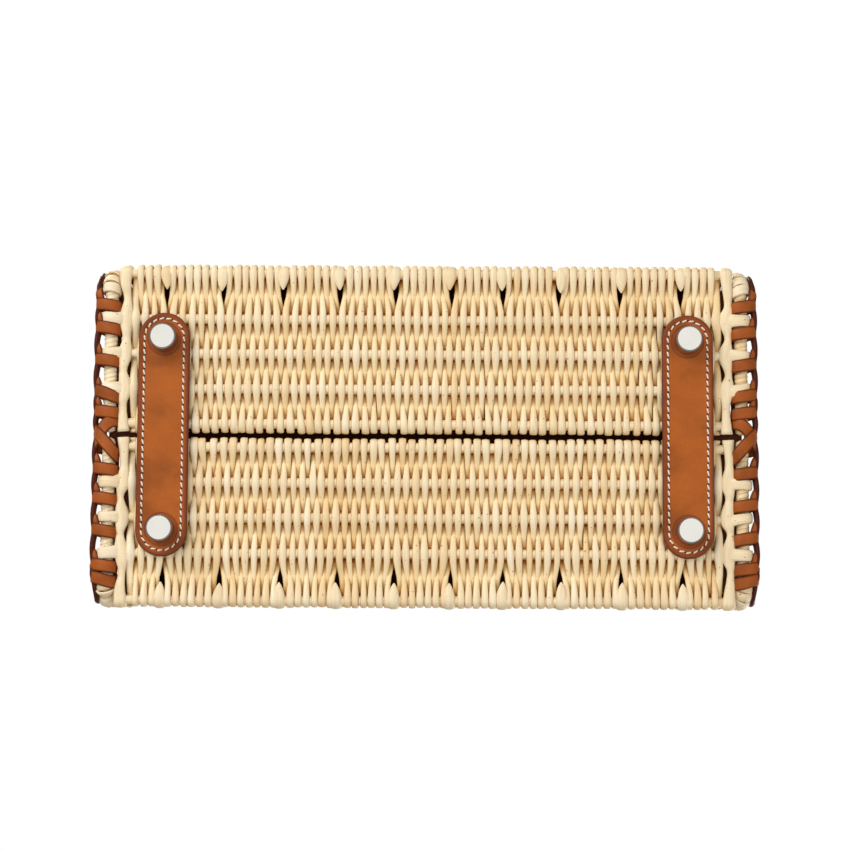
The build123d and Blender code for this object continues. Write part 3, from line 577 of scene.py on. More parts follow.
def base_runs(side, rng):
    """Weavers of one half of the base, from the seam to the heel."""
    runs = []
    count = int(2 * MAT_HALF / PITCH)
    for k in range(count + 1):
        u = -MAT_HALF + 2 * MAT_HALF * k / count + rng.uniform(-0.1, 0.1)
        over = k % 2 == 0
        broad = rng.choice([0.94, 1.0, 1.03, 1.05, 1.08, 1.12])
        line = weave_line(STICK_YS, over, BASE_RISE, 6, broad, 0.7 * broad, rng)
        if over:
            reach = SEAM_REACH + rng.uniform(-0.25, 0.12)
            line = end_loop(STICK_YS[0], -1, BASE_RISE, reach, broad * 1.04)[::-1] + line
        else:
            line = [(STICK_YS[0] - 1.2, -BASE_RISE, broad)] + line
        if over == (len(STICK_YS) % 2 == 1):
            reach = (2.4 if side < 0 else 1.8) + rng.uniform(-0.15, 0.1)
            line += end_loop(STICK_YS[-1], 1, BASE_RISE, reach, broad * 0.95)
        else:
            line += [(STICK_YS[-1] + 1.2, -BASE_RISE, broad)]
        slant = 0.1 + 0.3 * math.sin(0.23 * u + 2 * side) + rng.gauss(0.0, 0.2)
        drift = wander(rng, 7, 0.16)
        points = []
        for v, w, size in line:
            lean = slant * (1 - ease((v - 1.0) / 11.0))
            points.append((squeezed(u, v) + drift(v / 10) + lean, side * v, STICK_Z - w, size))
        # rim sets how much painted shade the strand's sides take
        runs.append({"points": points, "rim": 0.6})
    return runs


def selvedge_runs(side, end, rng):
    """Broad strands beside an edge rod: they lie over the sticks, pinch in between and end in points."""
    knots = []
    for y in STICK_YS[:-1]:
        knots += [(end * (91.9 + rng.uniform(-0.3, 0.3)), y, 2.1 + rng.uniform(-0.2, 0.25)),
                  (end * (92.1 + rng.choice([-0.5, 0.45]) + rng.uniform(-0.15, 0.15)), y + rng.uniform(4.5, 6.2),
                   rng.uniform(0.95, 1.2))]
    knots += [(end * 92.2, 47.0, 1.5), (end * 92.0, 50.4, 1.8)]
    knots[0] = (knots[0][0], 0.9, 1.7)
    line = [(x, side * y, STICK_Z - (OUTER_W - 0.45 * size - (0.0 if size > 1.2 else 0.5)), size)
            for x, y, size in smooth_line(knots, 5)]
    x, _, _, size = line[-1]
    line += [(x, side * (STICK_YS[-1] + 1.75 * math.sin(a)), STICK_Z - 1.55 * math.cos(a), size)
             for a in (0.5, 1.0, 1.5, 2.0, 2.6)]
    runs = [{"points": line}]
    knots = []
    for k, y in enumerate(STICK_YS):
        knots += [(end * (89.0 + rng.uniform(-0.2, 0.2)), y, 1.3 if k % 2 else 1.0, 1.0 if k % 2 else -0.4),
                  (end * (89.2 + rng.uniform(-0.25, 0.25)), y + 5.2, 1.0, 0.25)]
    knots = [(knots[0][0], 0.9, 1.0, 0.3)] + knots[:-1]
    runs.append({"points": [(x, side * y, STICK_Z - 1.75 * out, size)
                            for x, y, size, out in smooth_line(knots, 5)]})
    return runs


def stake_tip_runs(side, rng):
    """Slyped ends of the wall's stakes, pushed in under the weave at the heel."""
    runs = []
    for x in STAKE_XS:
        x += rng.uniform(-0.3, 0.3)
        lean = rng.uniform(-0.3, 0.3)
        tip = 44.6 + rng.uniform(-0.5, 0.6)
        knots = [(x + lean, tip, 8.85, 0.12), (x + lean, tip + 0.9, 8.75, 0.6),
                 (x + lean * 0.7, tip + 2.3, 8.7, 1.08), (x, tip + 4.0, 8.7, 1.42), (x, 50.3, 8.8, 1.5),
                 (x, 51.6, 9.7, 1.5), (x, 51.75, 11.3, 1.5), (x, 50.9, 13.6, 1.45), (x, 49.7, 17.0, 1.3)]
        runs.append({"points": [(a, side * b, c, size) for a, b, c, size in smooth_line(knots, 3)]})
    return runs


def base_depth(places):
    return (places[:, 2] - (STICK_Z - OUTER_W)) / (2 * OUTER_W)


def wall_centre_y(z):
    return FLOOR_Y - (z - FLOOR_Z) * WALL_TAN - WALL_T / 2 / WALL_COS


def wall_edge_x(z):
    return MAT_EDGE - (z - STICK_Z) * SIDE_TAN


def wall_place(side, x, z, out):
    """A point of a wall: out is towards the outside of the bag."""
    return x, side * (wall_centre_y(z) + out * WALL_COS), z + out * WALL_SIN


def wall_runs(side, rng):
    """Weavers of one wall, row above row, each turning round the end stakes."""
    runs = []
    count = int((ROW_TOP - FLOOR_Z - 0.9) / PITCH)
    for row in range(count):
        z = FLOOR_Z + 0.95 + row * PITCH + rng.uniform(-0.06, 0.06)
        share = wall_edge_x(z) / wall_edge_x(FLOOR_Z)
        edge = wall_edge_x(z) - WALL_RISE - 0.3
        crossings = [-edge] + [x * share for x in STAKE_XS] + [edge]
        over = row % 2 == 0
        broad = rng.choice([0.92, 0.97, 1.0, 1.0, 1.04, 1.08])
        line = weave_line(crossings, over, WALL_RISE, 5, broad, 0.62 * broad, rng)
        if over:
            line = end_loop(-edge, -1, WALL_RISE, WALL_RISE, broad)[::-1] + line
        if over == (len(crossings) % 2 == 1):
            line += end_loop(edge, 1, WALL_RISE, WALL_RISE, broad)
        lift = wander(rng, 13, 0.14)
        runs.append({"points": [wall_place(side, x, z + lift((x + 96) / 16), out) + (size,)
                                for x, out, size in line]})
    return runs


def stake_runs(side, rng):
    """Upright stakes of one wall."""
    runs = []
    for x in [-MAT_EDGE + WALL_RISE + 0.3] + STAKE_XS + [MAT_EDGE - WALL_RISE - 0.3]:
        points = []
        for k in range(9):
            z = FLOOR_Z + 0.6 + (WALL_TOP - FLOOR_Z - 0.6) * k / 8
            share = wall_edge_x(z) / wall_edge_x(FLOOR_Z)
            points.append(wall_place(side, x * share, z, 0.0) + (STAKE_D / 2,))
        runs.append({"points": points})
    return runs


def wall_depth(places):
    return 0.5 - (np.abs(places[:, 1]) - wall_centre_y(places[:, 2])) * WALL_COS / WALL_T


# ---------------------------------------------------------------- edge rods


def edge_line():
    """Middle line of the edge rod as (distance from the seam, place, along) for the +x, +y corner."""
    heel = Vector((ROD_X, HEEL_Y, STICK_Z))
    top_x = ROD_X - (ROD_TOP_Z - STICK_Z) * SIDE_TAN
    top = Vector((top_x, wall_centre_y(ROD_TOP_Z), ROD_TOP_Z))
    first, second = Vector((0, 1, 0)), (top - heel).normalized()
    turn = first.angle(second)
    cut = ROD_BEND * math.tan(turn / 2)
    middle = heel + (second - first).normalized() * (ROD_BEND / math.cos(turn / 2))
    axis = first.cross(second).normalized()
    line = [(ROD_START, Vector((ROD_X, ROD_START, STICK_Z)), first), (HEEL_Y - cut, heel - first * cut, first)]
    distance = HEEL_Y - cut
    start = line[-1][1] - middle
    for k in range(1, 13):
        spin = Matrix.Rotation(turn * k / 12, 3, axis)
        line.append((distance + ROD_BEND * turn * k / 12, middle + spin @ start, spin @ first))
    line.append((line[-1][0] + (top - line[-1][1]).length, top, second))
    return line


EDGE_LINE = edge_line()
WALL_START = EDGE_LINE[-2][0]
ROD_END = EDGE_LINE[-1][0]


def on_edge(distance):
    """Place, outward, inward and lengthwise directions of the edge rod at a distance from the seam."""
    for (d0, p0, t0), (d1, p1, t1) in zip(EDGE_LINE[:-1], EDGE_LINE[1:]):
        if distance <= d1:
            break
    share = (distance - d0) / (d1 - d0)
    along = t0.lerp(t1, share).normalized()
    out = (Vector((1, 0, 0)) - along * along.x).normalized()
    return p0.lerp(p1, share), out, out.cross(along), along


def mirrored(end, side, spot):
    """A place or direction of the +x, +y corner, moved to the corner that is asked for."""
    return end * spot.x, side * spot.y, spot.z


def edge_point(end, side, distance, out, inward, along=0.0, size=1.0):
    """A point near an edge rod, by its distance from the seam and its offsets from the rod's middle."""
    place, outward, into, tangent = on_edge(max(ROD_START, distance + along))
    spot = place + outward * out + into * inward
    if distance + along < ROD_START:
        spot += tangent * (distance + along - ROD_START)
    return (*mirrored(end, side, spot), size)


def edge_run(end, side, distance, knots, **extra):
    """A strip round the rod: knots hold its out and inward offsets, its slant and its size."""
    points, faces = [], []
    _, outward, into, _ = on_edge(distance)
    for out, inward, slant, size in knots:
        points.append(edge_point(end, side, distance, out, inward, along=slant, size=size))
        faces.append(mirrored(end, side, outward * out + into * inward))
    return {"points": points, "faces": faces, **extra}


def wall_bands():
    """Where the wrapped bands sit on the wall's part of the rod."""
    return [WALL_START + 3.6 + k * BAND_STEP for k in range(9)]


def rod_runs(end, side, rng):
    """Rod wrapped with fine skein, whose turns show as ribs 1.4 mm apart."""
    points = []
    distance = 0.8
    while distance < ROD_END - 1:
        rib = 1.0 if len(points) % 2 else 0.93
        cap = math.sqrt(1 - max(0.0, 1 - (distance - 0.7) / 1.6) ** 2)
        points.append(edge_point(end, side, distance, 0, 0, size=ROD_R * rib * cap))
        distance += 0.62 + rng.uniform(-0.08, 0.08)
    return [{"points": points}]


def band_runs(end, side, rng):
    """Stick ends: each comes out of the mat over the rod and wraps round it."""
    runs = []
    for distance in STICK_YS[1:-1] + wall_bands():
        slant = rng.uniform(-1.0, 1.0)
        wide = rng.uniform(0.98, 1.15)
        knots = [(-5.8, -0.4, -0.1, 0.9), (-4.0, -1.35, 0.0, 1.2), (-2.2, -2.35, 0.3, 1.05),
                 (0.0, -2.68, 0.7, 0.98), (1.8, -2.0, 1.0, 0.98), (2.6, -0.4, 1.0, 0.98), (2.1, 1.5, 1.0, 0.95),
                 (0.4, 2.5, 1.0, 0.9), (-1.6, 2.0, 1.0, 0.8)]
        runs.append(edge_run(end, side, distance, [(o, i, slant * (s - 0.4), size * wide)
                                                   for o, i, s, size in smooth_line(knots, 3)]))
    return runs


def corner_wrap_runs(end, side, rng):
    """Skeins that bind the rod where it turns the corner at the heel."""
    runs = []
    for before in (8.6, 6.1, 3.5, 0.6):
        slant = rng.uniform(0.2, 0.9)
        turn = rng.uniform(0, 6)
        runs.append(edge_run(end, side, WALL_START - before, [
            (WRAP_R * math.cos(a), WRAP_R * math.sin(a), slant * math.cos(a), rng.uniform(0.97, 1.03))
            for a in (turn + math.radians(30 * k) for k in range(12))]))
    return runs


# ---------------------------------------------------------------- lacing

# Stitches of each end, as distances from the seam; the maker's hand is not even
LACE_TURNS = {
    (-1, -1): [6.9, 12.6, 22.8, 32.8, 39.9],
    (-1, 1): [10.6, 19.6, 29.4, 40.0, 43.9],
    (1, -1): [7.4, 12.7, 22.2, 32.1, 40.3],
    (1, 1): [11.1, 20.9, 31.0, 40.2, 43.8],
}


def tuck(distance):
    """The lace lies closer to the rod round the heel and up the walls."""
    return 1.1 * ease((distance - 43.5) / 5)


def lace_stops(end, side):
    return LACE_TURNS[(end, side)] + [d + BAND_STEP / 2 for d in wall_bands()]


def lace_turn_runs(end, side, rng):
    """Turns of the thong: out of the slot beside the mat, over the rod and round the outer line."""
    runs = []
    for k, distance in enumerate(lace_stops(end, side)):
        skew = -side * rng.uniform(0.8, 1.6)
        if (end, side, k) == (-1, -1, 1):
            skew = 3.0
        knots = [(3.1, 1.9), (4.0, 0.9), (4.3, -0.4), (3.9, -1.4), (2.9, -2.2), (1.5, -2.75), (0.0, -2.95),
                 (-1.4, -2.75), (-2.3, -2.0), (-2.6, -0.3), (-2.6, 1.9), (-1.9, 4.1), (0.2, 4.6), (2.1, 3.6)]
        loop = smooth_line(knots + knots[:3], 3)[3:-6]
        near = tuck(distance) / 3.0
        runs.append(edge_run(end, side, distance, [
            (o - near * max(0.0, o - 1.3), i, skew * (o - 1.3) / 8, 1.0) for o, i in loop], rim=0.75))
    return runs


def lace_line_runs(end, side, rng):
    """The thong's runs along the outside, from one turn to the next, seen on edge."""
    stops = [1.0] + lace_stops(end, side)
    runs = []
    for a, b in zip(stops[:-1], stops[1:]):
        if b - a < 2.5:
            continue
        bow = 0.35 + 0.03 * (b - a)
        points = []
        for k in range(9):
            t = k / 8
            swell = math.sin(math.pi * t)
            points.append(edge_point(end, side, a + (b - a) * t,
                                     3.7 + bow * swell - tuck(a + (b - a) * t), 0.3 - 0.5 * swell,
                                     size=1.0 - 0.08 * swell))
        faces = [mirrored(end, side, -on_edge(a + (b - a) * k / 8)[1]) for k in range(9)]
        # The whole run takes the burnish colour: the thong's real dark edge, which is the side that shows, with
        # painted shade on it
        runs.append({"points": points, "faces": faces, "edge": 0.95})
    return runs


def lace_knuckle_runs(end, side, rng):
    """Short bulges where the thong comes round the outer line to make each turn."""
    runs = []
    for distance in lace_stops(end, side):
        reach = 1.8 + rng.uniform(-0.2, 0.3)
        middle = distance - side * 2.9
        points, faces = [], []
        for k in range(7):
            t = -1 + k / 3
            along = middle + reach * t
            out = 3.3 + 0.3 * (1 - t * t) - tuck(along) - side * t * 0.65
            _, outward, into, _ = on_edge(along)
            points.append(edge_point(end, side, along, out, -1.0 - 0.4 * (1 - t * t), size=1 - 0.3 * t * t))
            faces.append(mirrored(end, side, outward * 0.5 - into))
        runs.append({"points": points, "faces": faces, "rim": 0.75})
    return runs


def seam_cross_runs(end):
    """The lace crosses itself where the two halves of the base meet."""
    over = [(1.6, 3.6, -2.2), (3.4, 1.7, -1.9), (4.1, 0.6, -1.7), (4.1, -1.0, -1.2), (3.1, -2.7, 0.0),
            (1.6, -3.6, 1.7), (0.0, -3.9, 3.5), (-1.4, -3.6, 5.2), (-2.3, -2.5, 6.4), (-2.7, -0.4, 6.9)]
    under = [(1.6, 3.6, 3.9), (3.4, 1.7, 3.7), (4.1, 0.5, 3.4), (4.0, -0.9, 2.6), (3.2, -2.1, 1.0),
             (2.1, -2.7, -1.0), (1.0, -2.9, -2.6), (-0.4, -2.8, -3.7), (-1.8, -2.1, -4.2), (-2.6, -0.4, -4.4)]
    runs = []
    for knots in (over, under):
        line = smooth_line(knots, 4)
        runs.append({"points": [(end * (ROD_X + o), y, STICK_Z + i, 1.0) for o, i, y in line],
                     "faces": [(end * (o - 0.4), 0, i - 0.6) for o, i, y in line], "rim": 0.75})
    return runs


# ---------------------------------------------------------------- stitching


def stitch_runs(path, normal_at, slant, closed, rng, length=1.45, thick=0.25):
    """Saddle stitches along a path: short slanting threads with an awl hole at each end."""
    spots = [Vector(p) for p in path]
    if closed:
        spots.append(spots[0])
    lengths = [0.0]
    for a, b in zip(spots[:-1], spots[1:]):
        lengths.append(lengths[-1] + (b - a).length)
    count = max(1, round(lengths[-1] / (bpy.context.scene.bag_sizes.stitch_pitch / MM)))
    step = lengths[-1] / count
    runs = []
    segment = 0
    for k in range(count):
        distance = (k + 0.5) * step
        while lengths[segment + 1] < distance:
            segment += 1
        share = (distance - lengths[segment]) / (lengths[segment + 1] - lengths[segment])
        place = spots[segment].lerp(spots[segment + 1], share)
        along = (spots[segment + 1] - spots[segment]).normalized()
        normal = Vector(normal_at(place)).normalized()
        lean = Matrix.Rotation(math.radians(slant + rng.uniform(-3, 3)), 3, normal) @ along
        half = length / 2
        # (share of its half length, height above the leather, size) of five points of the thread
        thread = ((-1.0, -0.22, 0.8), (-0.8, 0.12, 1.0), (0.0, 0.2, 1.05), (0.8, 0.12, 1.0), (1.0, -0.22, 0.8))
        runs.append({"points": [(*(place + lean * half * a + normal * h), thick * s) for a, h, s in thread]})
        hole = place + along * step / 2
        runs.append({"points": [(*(hole - normal * 0.3), 0.3), (*(hole + normal * 0.1), 0.3)], "finish": 1})
    return runs


def rounded_box_path(half_x, half_y, radius, z, steps=6, middle=0.0):
    """Outline of a rounded rectangle about x = middle, seen from above and anticlockwise."""
    path = []
    for qx, qy, start in ((1, 1, 0), (-1, 1, 90), (-1, -1, 180), (1, -1, 270)):
        for k in range(steps + 1):
            angle = math.radians(start + 90 * k / steps)
            path.append((qx * (half_x - radius) + radius * math.cos(angle) + middle,
                         qy * (half_y - radius) + radius * math.sin(angle), z))
    return path


def stitching(name, runs, body, rng):
    obj = sweep(name, runs, section(1.0, 1.0, 6, 1.0), ["waxed_linen_thread", "awl_hole_leather"], rng)
    return finish_piece(obj, body, "tan_leather")


# ---------------------------------------------------------------- operators


def draws(label):
    """The random draws of one group of pieces."""
    return random.Random(f"{bpy.context.scene.bag_sizes.seed} {label}")


def skein(sizes):
    return section(sizes.strand_wide / MM / 2, sizes.strand_thick / MM / 2)


class BAG_OT_base_mats(bpy.types.Operator):
    """Weaves the two halves of the base"""
    bl_idname = "bag.base_mats"
    bl_label = "Base mats"

    def execute(self, context):
        sizes = context.scene.bag_sizes
        for side, label in ((-1, "front"), (1, "back")):
            rng = draws(f"{label} base")
            runs = base_runs(side, rng)
            for end in (-1, 1):
                runs += selvedge_runs(side, end, rng)
            node = f"{label}_basket"
            swept(f"{label}_base_weave", runs, skein(sizes), WILLOW, rng, node, base_depth)
            sticks = []
            for y in STICK_YS:
                wave = [rng.uniform(-0.12, 0.12) for _ in range(12)]
                sticks.append({"points": [(-MAT_EDGE + 2 * MAT_EDGE * k / 11, side * (y + wave[k]), STICK_Z,
                                           STICK_D / 2 * rng.uniform(0.97, 1.03)) for k in range(12)]})
            swept(f"{label}_base_sticks", sticks, section(1, 1.2, 10, 0.9), WILLOW, rng, node, base_depth)
            swept(f"{label}_stake_tips", stake_tip_runs(side, rng), section(1.24, 0.62, 10, 0.9), WILLOW, rng, node)
        return {"FINISHED"}


class BAG_OT_walls(bpy.types.Operator):
    """Weaves the front and back walls"""
    bl_idname = "bag.walls"
    bl_label = "Walls"

    def execute(self, context):
        sizes = context.scene.bag_sizes
        wide, thick = sizes.strand_wide / MM / 2, sizes.strand_thick / MM / 2
        for side, label in ((-1, "front"), (1, "back")):
            rng = draws(f"{label} wall")
            swept(f"{label}_wall_weave", wall_runs(side, rng), section(thick, wide), WILLOW, rng,
                  f"{label}_basket", wall_depth)
            swept(f"{label}_wall_stakes", stake_runs(side, rng), section(1, 1, 10, 1.0), WILLOW, rng,
                  f"{label}_basket", wall_depth)
        return {"FINISHED"}


class BAG_OT_edge_rods(bpy.types.Operator):
    """Makes the wrapped edge rods and the stick ends that hold them"""
    bl_idname = "bag.edge_rods"
    bl_label = "Edge rods"

    def execute(self, context):
        for side, label in ((-1, "front"), (1, "back")):
            rng = draws(f"{label} rods")
            rods, bands, wraps = [], [], []
            for end in (-1, 1):
                rods += rod_runs(end, side, rng)
                bands += band_runs(end, side, rng)
                wraps += corner_wrap_runs(end, side, rng)
            for name, runs, outline, finish, closed in (
                    (f"{label}_edge_rods", rods, section(1, 1, 12, 1.0), "willow_wrapped_rod", False),
                    (f"{label}_stick_ends", bands, section(1.65, 0.5, 10), WILLOW, False),
                    (f"{label}_corner_wraps", wraps, section(1.6, 0.5, 10), WILLOW, True)):
                swept(name, runs, outline, finish, rng, f"{label}_basket", closed=closed)
        return {"FINISHED"}


class BAG_OT_lacing(bpy.types.Operator):
    """Laces both ends with a leather thong"""
    bl_idname = "bag.lacing"
    bl_label = "Lacing"

    def execute(self, context):
        half = context.scene.bag_sizes.lace_wide / MM / 2
        for end, label in ((-1, "left"), (1, "right")):
            rng = draws(f"{label} lace")
            turns, lines, knuckles = [], [], []
            for side in (-1, 1):
                turns += lace_turn_runs(end, side, rng)
                lines += lace_line_runs(end, side, rng)
                knuckles += lace_knuckle_runs(end, side, rng)
            for part, runs, outline in (("turns", turns, section(half, 0.55, 12, 0.6)),
                                        ("cross", seam_cross_runs(end), section(half, 0.5, 12, 0.6)),
                                        ("knuckles", knuckles, section(1.35, 0.6, 12, 0.7)),
                                        ("line", lines, section(1.9, 0.9, 12, 0.7))):
                swept(f"{label}_lace_{part}", runs, outline, THONG, rng, f"{label}_lacing", closed=part == "turns")
        return {"FINISHED"}


class BAG_OT_base_tabs(bpy.types.Operator):
    """Makes the two stitched leather tabs that carry the feet"""
    bl_idname = "bag.base_tabs"
    bl_label = "Base tabs"

    def execute(self, context):
        straight = TAB_HALF_L - TAB_HALF_W
        for end, label in ((-1, "left"), (1, "right")):
            rng = draws(f"{label} tab")
            low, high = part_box(f"{label}_base_tab")
            middle = (low.x + high.x) / 2 / MM
            bm = bmesh.new()
            bmesh.ops.create_circle(bm, cap_ends=True, segments=64, radius=TAB_HALF_W * MM,
                                    matrix=Matrix.Rotation(math.radians(180 / 64), 4, "Z"))
            for vert in bm.verts:
                vert.co.y += math.copysign(straight * MM, vert.co.y)
            face = next(iter(bm.faces))
            if face.normal.z > 0:
                face.normal_flip()
            grown = bmesh.ops.extrude_face_region(bm, geom=[face])
            bmesh.ops.translate(bm, verts=[v for v in grown["geom"] if isinstance(v, bmesh.types.BMVert)],
                                vec=(0, 0, -1.35 * MM))
            top = [f for f in grown["geom"] if isinstance(f, bmesh.types.BMFace)]
            for inset, rise in ((0.12, 0.34), (0.2, 0.22), (0.3, 0.09), (0.5, -0.04), (0.28, -0.2), (0.3, -0.16),
                                (0.5, -0.02), (0.5, 0.0)):
                bmesh.ops.inset_region(bm, faces=top, thickness=inset * MM, depth=rise * MM, use_even_offset=True)
            bmesh.ops.recalc_face_normals(bm, faces=bm.faces)
            layer = bm.verts.layers.float.new("edge")
            for vert in bm.verts:
                x, y = vert.co.x / MM, vert.co.y / MM
                inside = TAB_HALF_W - math.hypot(x, max(0.0, abs(y) - straight))
                # Burnished edge band: the leather's real dark edge, with its outer 0.25 mm darker still as painted
                # shade where the tab meets the mat
                vert[layer] = (1.0 if inside < 0.25 else 0.66) * (1 - ease((inside - 0.9) / 0.6))
                vert.co += Vector((middle * MM, 0, TAB_TOP * MM))
            for each in bm.faces:
                each.smooth = True
            finish_piece(link_shape(f"{label}_tab", bm, materials()["tan_calf_tab"]), "body", "tan_leather",
                         f"{label}_base_tab")
            path = rounded_box_path(TAB_HALF_W - TAB_SEAM, TAB_HALF_L - TAB_SEAM, TAB_HALF_W - TAB_SEAM - 0.01,
                                    TAB_FACE + 0.41, 12, middle)
            runs = stitch_runs(path, lambda p: (0, 0, -1), 15, True, rng)
            stitching(f"{label}_tab_stitching", runs, "body", rng)
        return {"FINISHED"}


class BAG_OT_body_leather(bpy.types.Operator):
    """Makes the gussets, the lining and the rim bindings"""
    bl_idname = "bag.body_leather"
    bl_label = "Body leather"

    def execute(self, context):
        rng = draws("body leather")
        for node, finish, slot in (("left_gusset", "calf_gusset", "gusset_leather"),
                                   ("right_gusset", "calf_gusset", "gusset_leather"),
                                   ("lining", "lining_leather_dark", "dark_leather"),
                                   ("front_rim_binding", CALF, "tan_leather"),
                                   ("back_rim_binding", CALF, "tan_leather")):
            soften_node(node, finish, "body", slot)
        runs = []
        low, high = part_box("front_rim_binding")
        for side in (-1, 1):
            half = high.x / MM - 2.0
            z = low.z / MM + 2.2
            y = FLOOR_Y - (z - FLOOR_Z) * WALL_TAN + 1.72 / WALL_COS
            runs += stitch_runs([(-half, side * y, z), (half, side * y, z)],
                                lambda p, s=side: (0, s * WALL_COS, WALL_SIN), 12 * side, False, rng)
        stitching("rim_stitching", runs, "body", rng)
        return {"FINISHED"}


class BAG_OT_lid(bpy.types.Operator):
    """Weaves the lid's mat and binds it with leather"""
    bl_idname = "bag.lid"
    bl_label = "Lid"

    def execute(self, context):
        sizes = context.scene.bag_sizes
        rng = draws("lid")
        _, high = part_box("lid_basket")
        half_x, half_y = high.x / MM - 1.4, high.y / MM - 0.6
        sticks = [LID_STICK_STEP * (k - 3) for k in range(7)]
        runs = []
        count = int(2 * half_x / PITCH)
        for k in range(count + 1):
            u = -half_x + 2 * half_x * k / count + rng.uniform(-0.1, 0.1)
            broad = rng.choice([0.92, 0.97, 1.0, 1.0, 1.04, 1.1])
            line = weave_line(sticks, k % 2 == 0, BASE_RISE, 5, broad, 0.6 * broad, rng)
            sign = 1 if k % 2 == 0 else -1
            line = [(-half_y, 0.2 * sign, broad * 0.8)] + line + [(half_y, 0.2 * sign, broad * 0.8)]
            drift = wander(rng, 9, 0.16)
            # rim sets how much painted shade the strand's sides take
            runs.append({"points": [(u + drift((v + 40) / 10), v, LID_MAT_Z + w, size) for v, w, size in line],
                         "rim": 0.6})

        def lid_depth(places):
            return (LID_MAT_Z + OUTER_W - places[:, 2]) / (2 * OUTER_W)

        swept("lid_weave", runs, skein(sizes), WILLOW, rng, "lid_basket", lid_depth)
        runs = [{"points": [(-half_x + 2 * half_x * k / 9, y + rng.uniform(-0.1, 0.1), LID_MAT_Z, STICK_D / 2)
                            for k in range(10)]} for y in sticks]
        swept("lid_sticks", runs, section(1, 1.2, 10, 0.9), WILLOW, rng, "lid_basket", lid_depth)
        soften_node("lid_binding", CALF, "lid")
        soften_node("lid_lining", "lining_leather_dark", "lid", "dark_leather")
        _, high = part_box("lid_binding")
        path = rounded_box_path(high.x / MM - 6.9, high.y / MM - 6.9, 2.2, high.z / MM + 0.02)
        runs = stitch_runs(path, lambda p: (0, 0, 1), 12, True, rng)
        stitching("lid_stitching", runs, "lid", rng)
        return {"FINISHED"}


class BAG_OT_clasp_and_handle(bpy.types.Operator):
    """Makes the clasp's tab, the handle and its patches"""
    bl_idname = "bag.clasp_and_handle"
    bl_label = "Clasp and handle"

    def execute(self, context):
        rng = draws("clasp")
        soften_node("clasp_tab", CALF, "lid", round_mm=0.35)
        low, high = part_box("clasp_tab")
        half, tip = high.x / MM, low.z / MM
        knee_z, knee_y, tip_y = 139.0, -39.27, low.y / MM
        inset = 2.0
        outline = [(half - inset, knee_z - 1.0)]
        for k in range(9):
            angle = math.radians(-180 * k / 8)
            outline.append(((half - inset) * math.cos(angle), tip + half + (half - inset) * math.sin(angle)))
        outline.append((-half + inset, knee_z - 1.0))
        lean = (knee_y - tip_y) / (knee_z - tip)
        path = [(x, tip_y + (z - tip) * lean - 0.02, z) for x, z in outline]
        runs = stitch_runs(path, lambda p: (0, -1, lean), 12, False, rng)
        for label in ("left", "right"):
            node = f"{label}_handle_patch"
            soften_node(node, CALF, "lid", round_mm=0.35)
            low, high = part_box(node)
            middle = (low.x + high.x) / 2 / MM
            path = rounded_box_path((high.x - low.x) / 2 / MM - 1.7, (high.y - low.y) / 2 / MM - 1.7, 2.0,
                                    high.z / MM + 0.02, middle=middle)
            runs += stitch_runs(path, lambda p: (0, 0, 1), 12, True, rng)
        stitching("clasp_and_patch_stitching", runs, "lid", rng)
        soften_node("handle", CALF, "handle", fold_angle=45)
        _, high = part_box("handle")
        thick, bend = 4.5, 20.0  # from the handle's middle to its face, and round its corners
        top, span = high.z / MM - thick, high.x / MM - thick
        inner = bend - thick
        path = [(-span + thick, 0, top - bend - 8)]
        for start, cx in ((180, -span + bend), (90, span - bend)):
            for k in range(9):
                angle = math.radians(start - 90 * k / 8)
                path.append((cx + inner * math.cos(angle), 0, top - bend + inner * math.sin(angle)))
        path.append((span - thick, 0, top - bend - 8))

        def towards_hand(p):
            if p.z < top - bend:
                return (-math.copysign(1, p.x), 0, 0)
            cx = max(-span + bend, min(span - bend, p.x))
            return (cx - p.x, 0, top - bend - p.z)

        runs = stitch_runs(path, towards_hand, 12, False, rng)
        stitching("handle_stitching", runs, "handle", rng)
        return {"FINISHED"}


class BAG_OT_fittings(bpy.types.Operator):
    """Gives the plated and plain metal fittings their finish"""
    bl_idname = "bag.fittings"
    bl_label = "Fittings"

    def execute(self, context):
        steel = {"foot_washers", "foot_nuts", "clasp_washer", "clasp_magnet"}
        for name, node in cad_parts.items():
            if node.hide_render:
                continue
            finish = "plain_steel_brushed" if name in steel else "nickel_plate_polished"
            node.data.materials.clear()
            node.data.materials.append(materials()[finish])
        return {"FINISHED"}


def aim(obj, target, roll=0.0, up=(0, 0, 1)):
    """Turns a camera or light at obj's place towards the target."""
    forward = (Vector(target) - obj.location).normalized()
    right = forward.cross(Vector(up)).normalized()
    above = right.cross(forward)
    turn = Matrix((right, above, -forward)).transposed()
    obj.matrix_world = Matrix.Translation(obj.location) @ turn.to_4x4() @ Matrix.Rotation(roll, 4, "Z")


def soft_light(name, place, target, size, watts):
    light = bpy.data.lights.new(name, "AREA")
    light.shape, light.size, light.energy = "DISK", size, watts
    obj = link(name, light)
    obj.location = place
    aim(obj, target, up=(0, 1, 0.01))


def floor_material():
    """Matt pale card that only its upper face shows, so the base can also be seen from below."""
    material, tree, shader = new_material("pale_card_floor")
    shader.inputs["Base Color"].default_value = linear("#F2F1EF")
    shader.inputs["Roughness"].default_value = 0.9
    reach = add(tree, "VectorMath", {0: in_object(tree)}, operation="LENGTH").outputs["Value"]
    fade = add(tree, "MapRange", {"Value": reach, "From Min": 0.2, "From Max": 0.7},
               interpolation_type="SMOOTHSTEP")
    gone = maths(tree, "MAXIMUM", add(tree, "NewGeometry").outputs["Backfacing"], fade.outputs[0])
    both = add(tree, "MixShader", {0: gone, 1: shader.outputs[0], 2: add(tree, "BsdfTransparent").outputs[0]})
    tree.links.new(both.outputs[0], tree.nodes["Material Output"].inputs["Surface"])
    return material


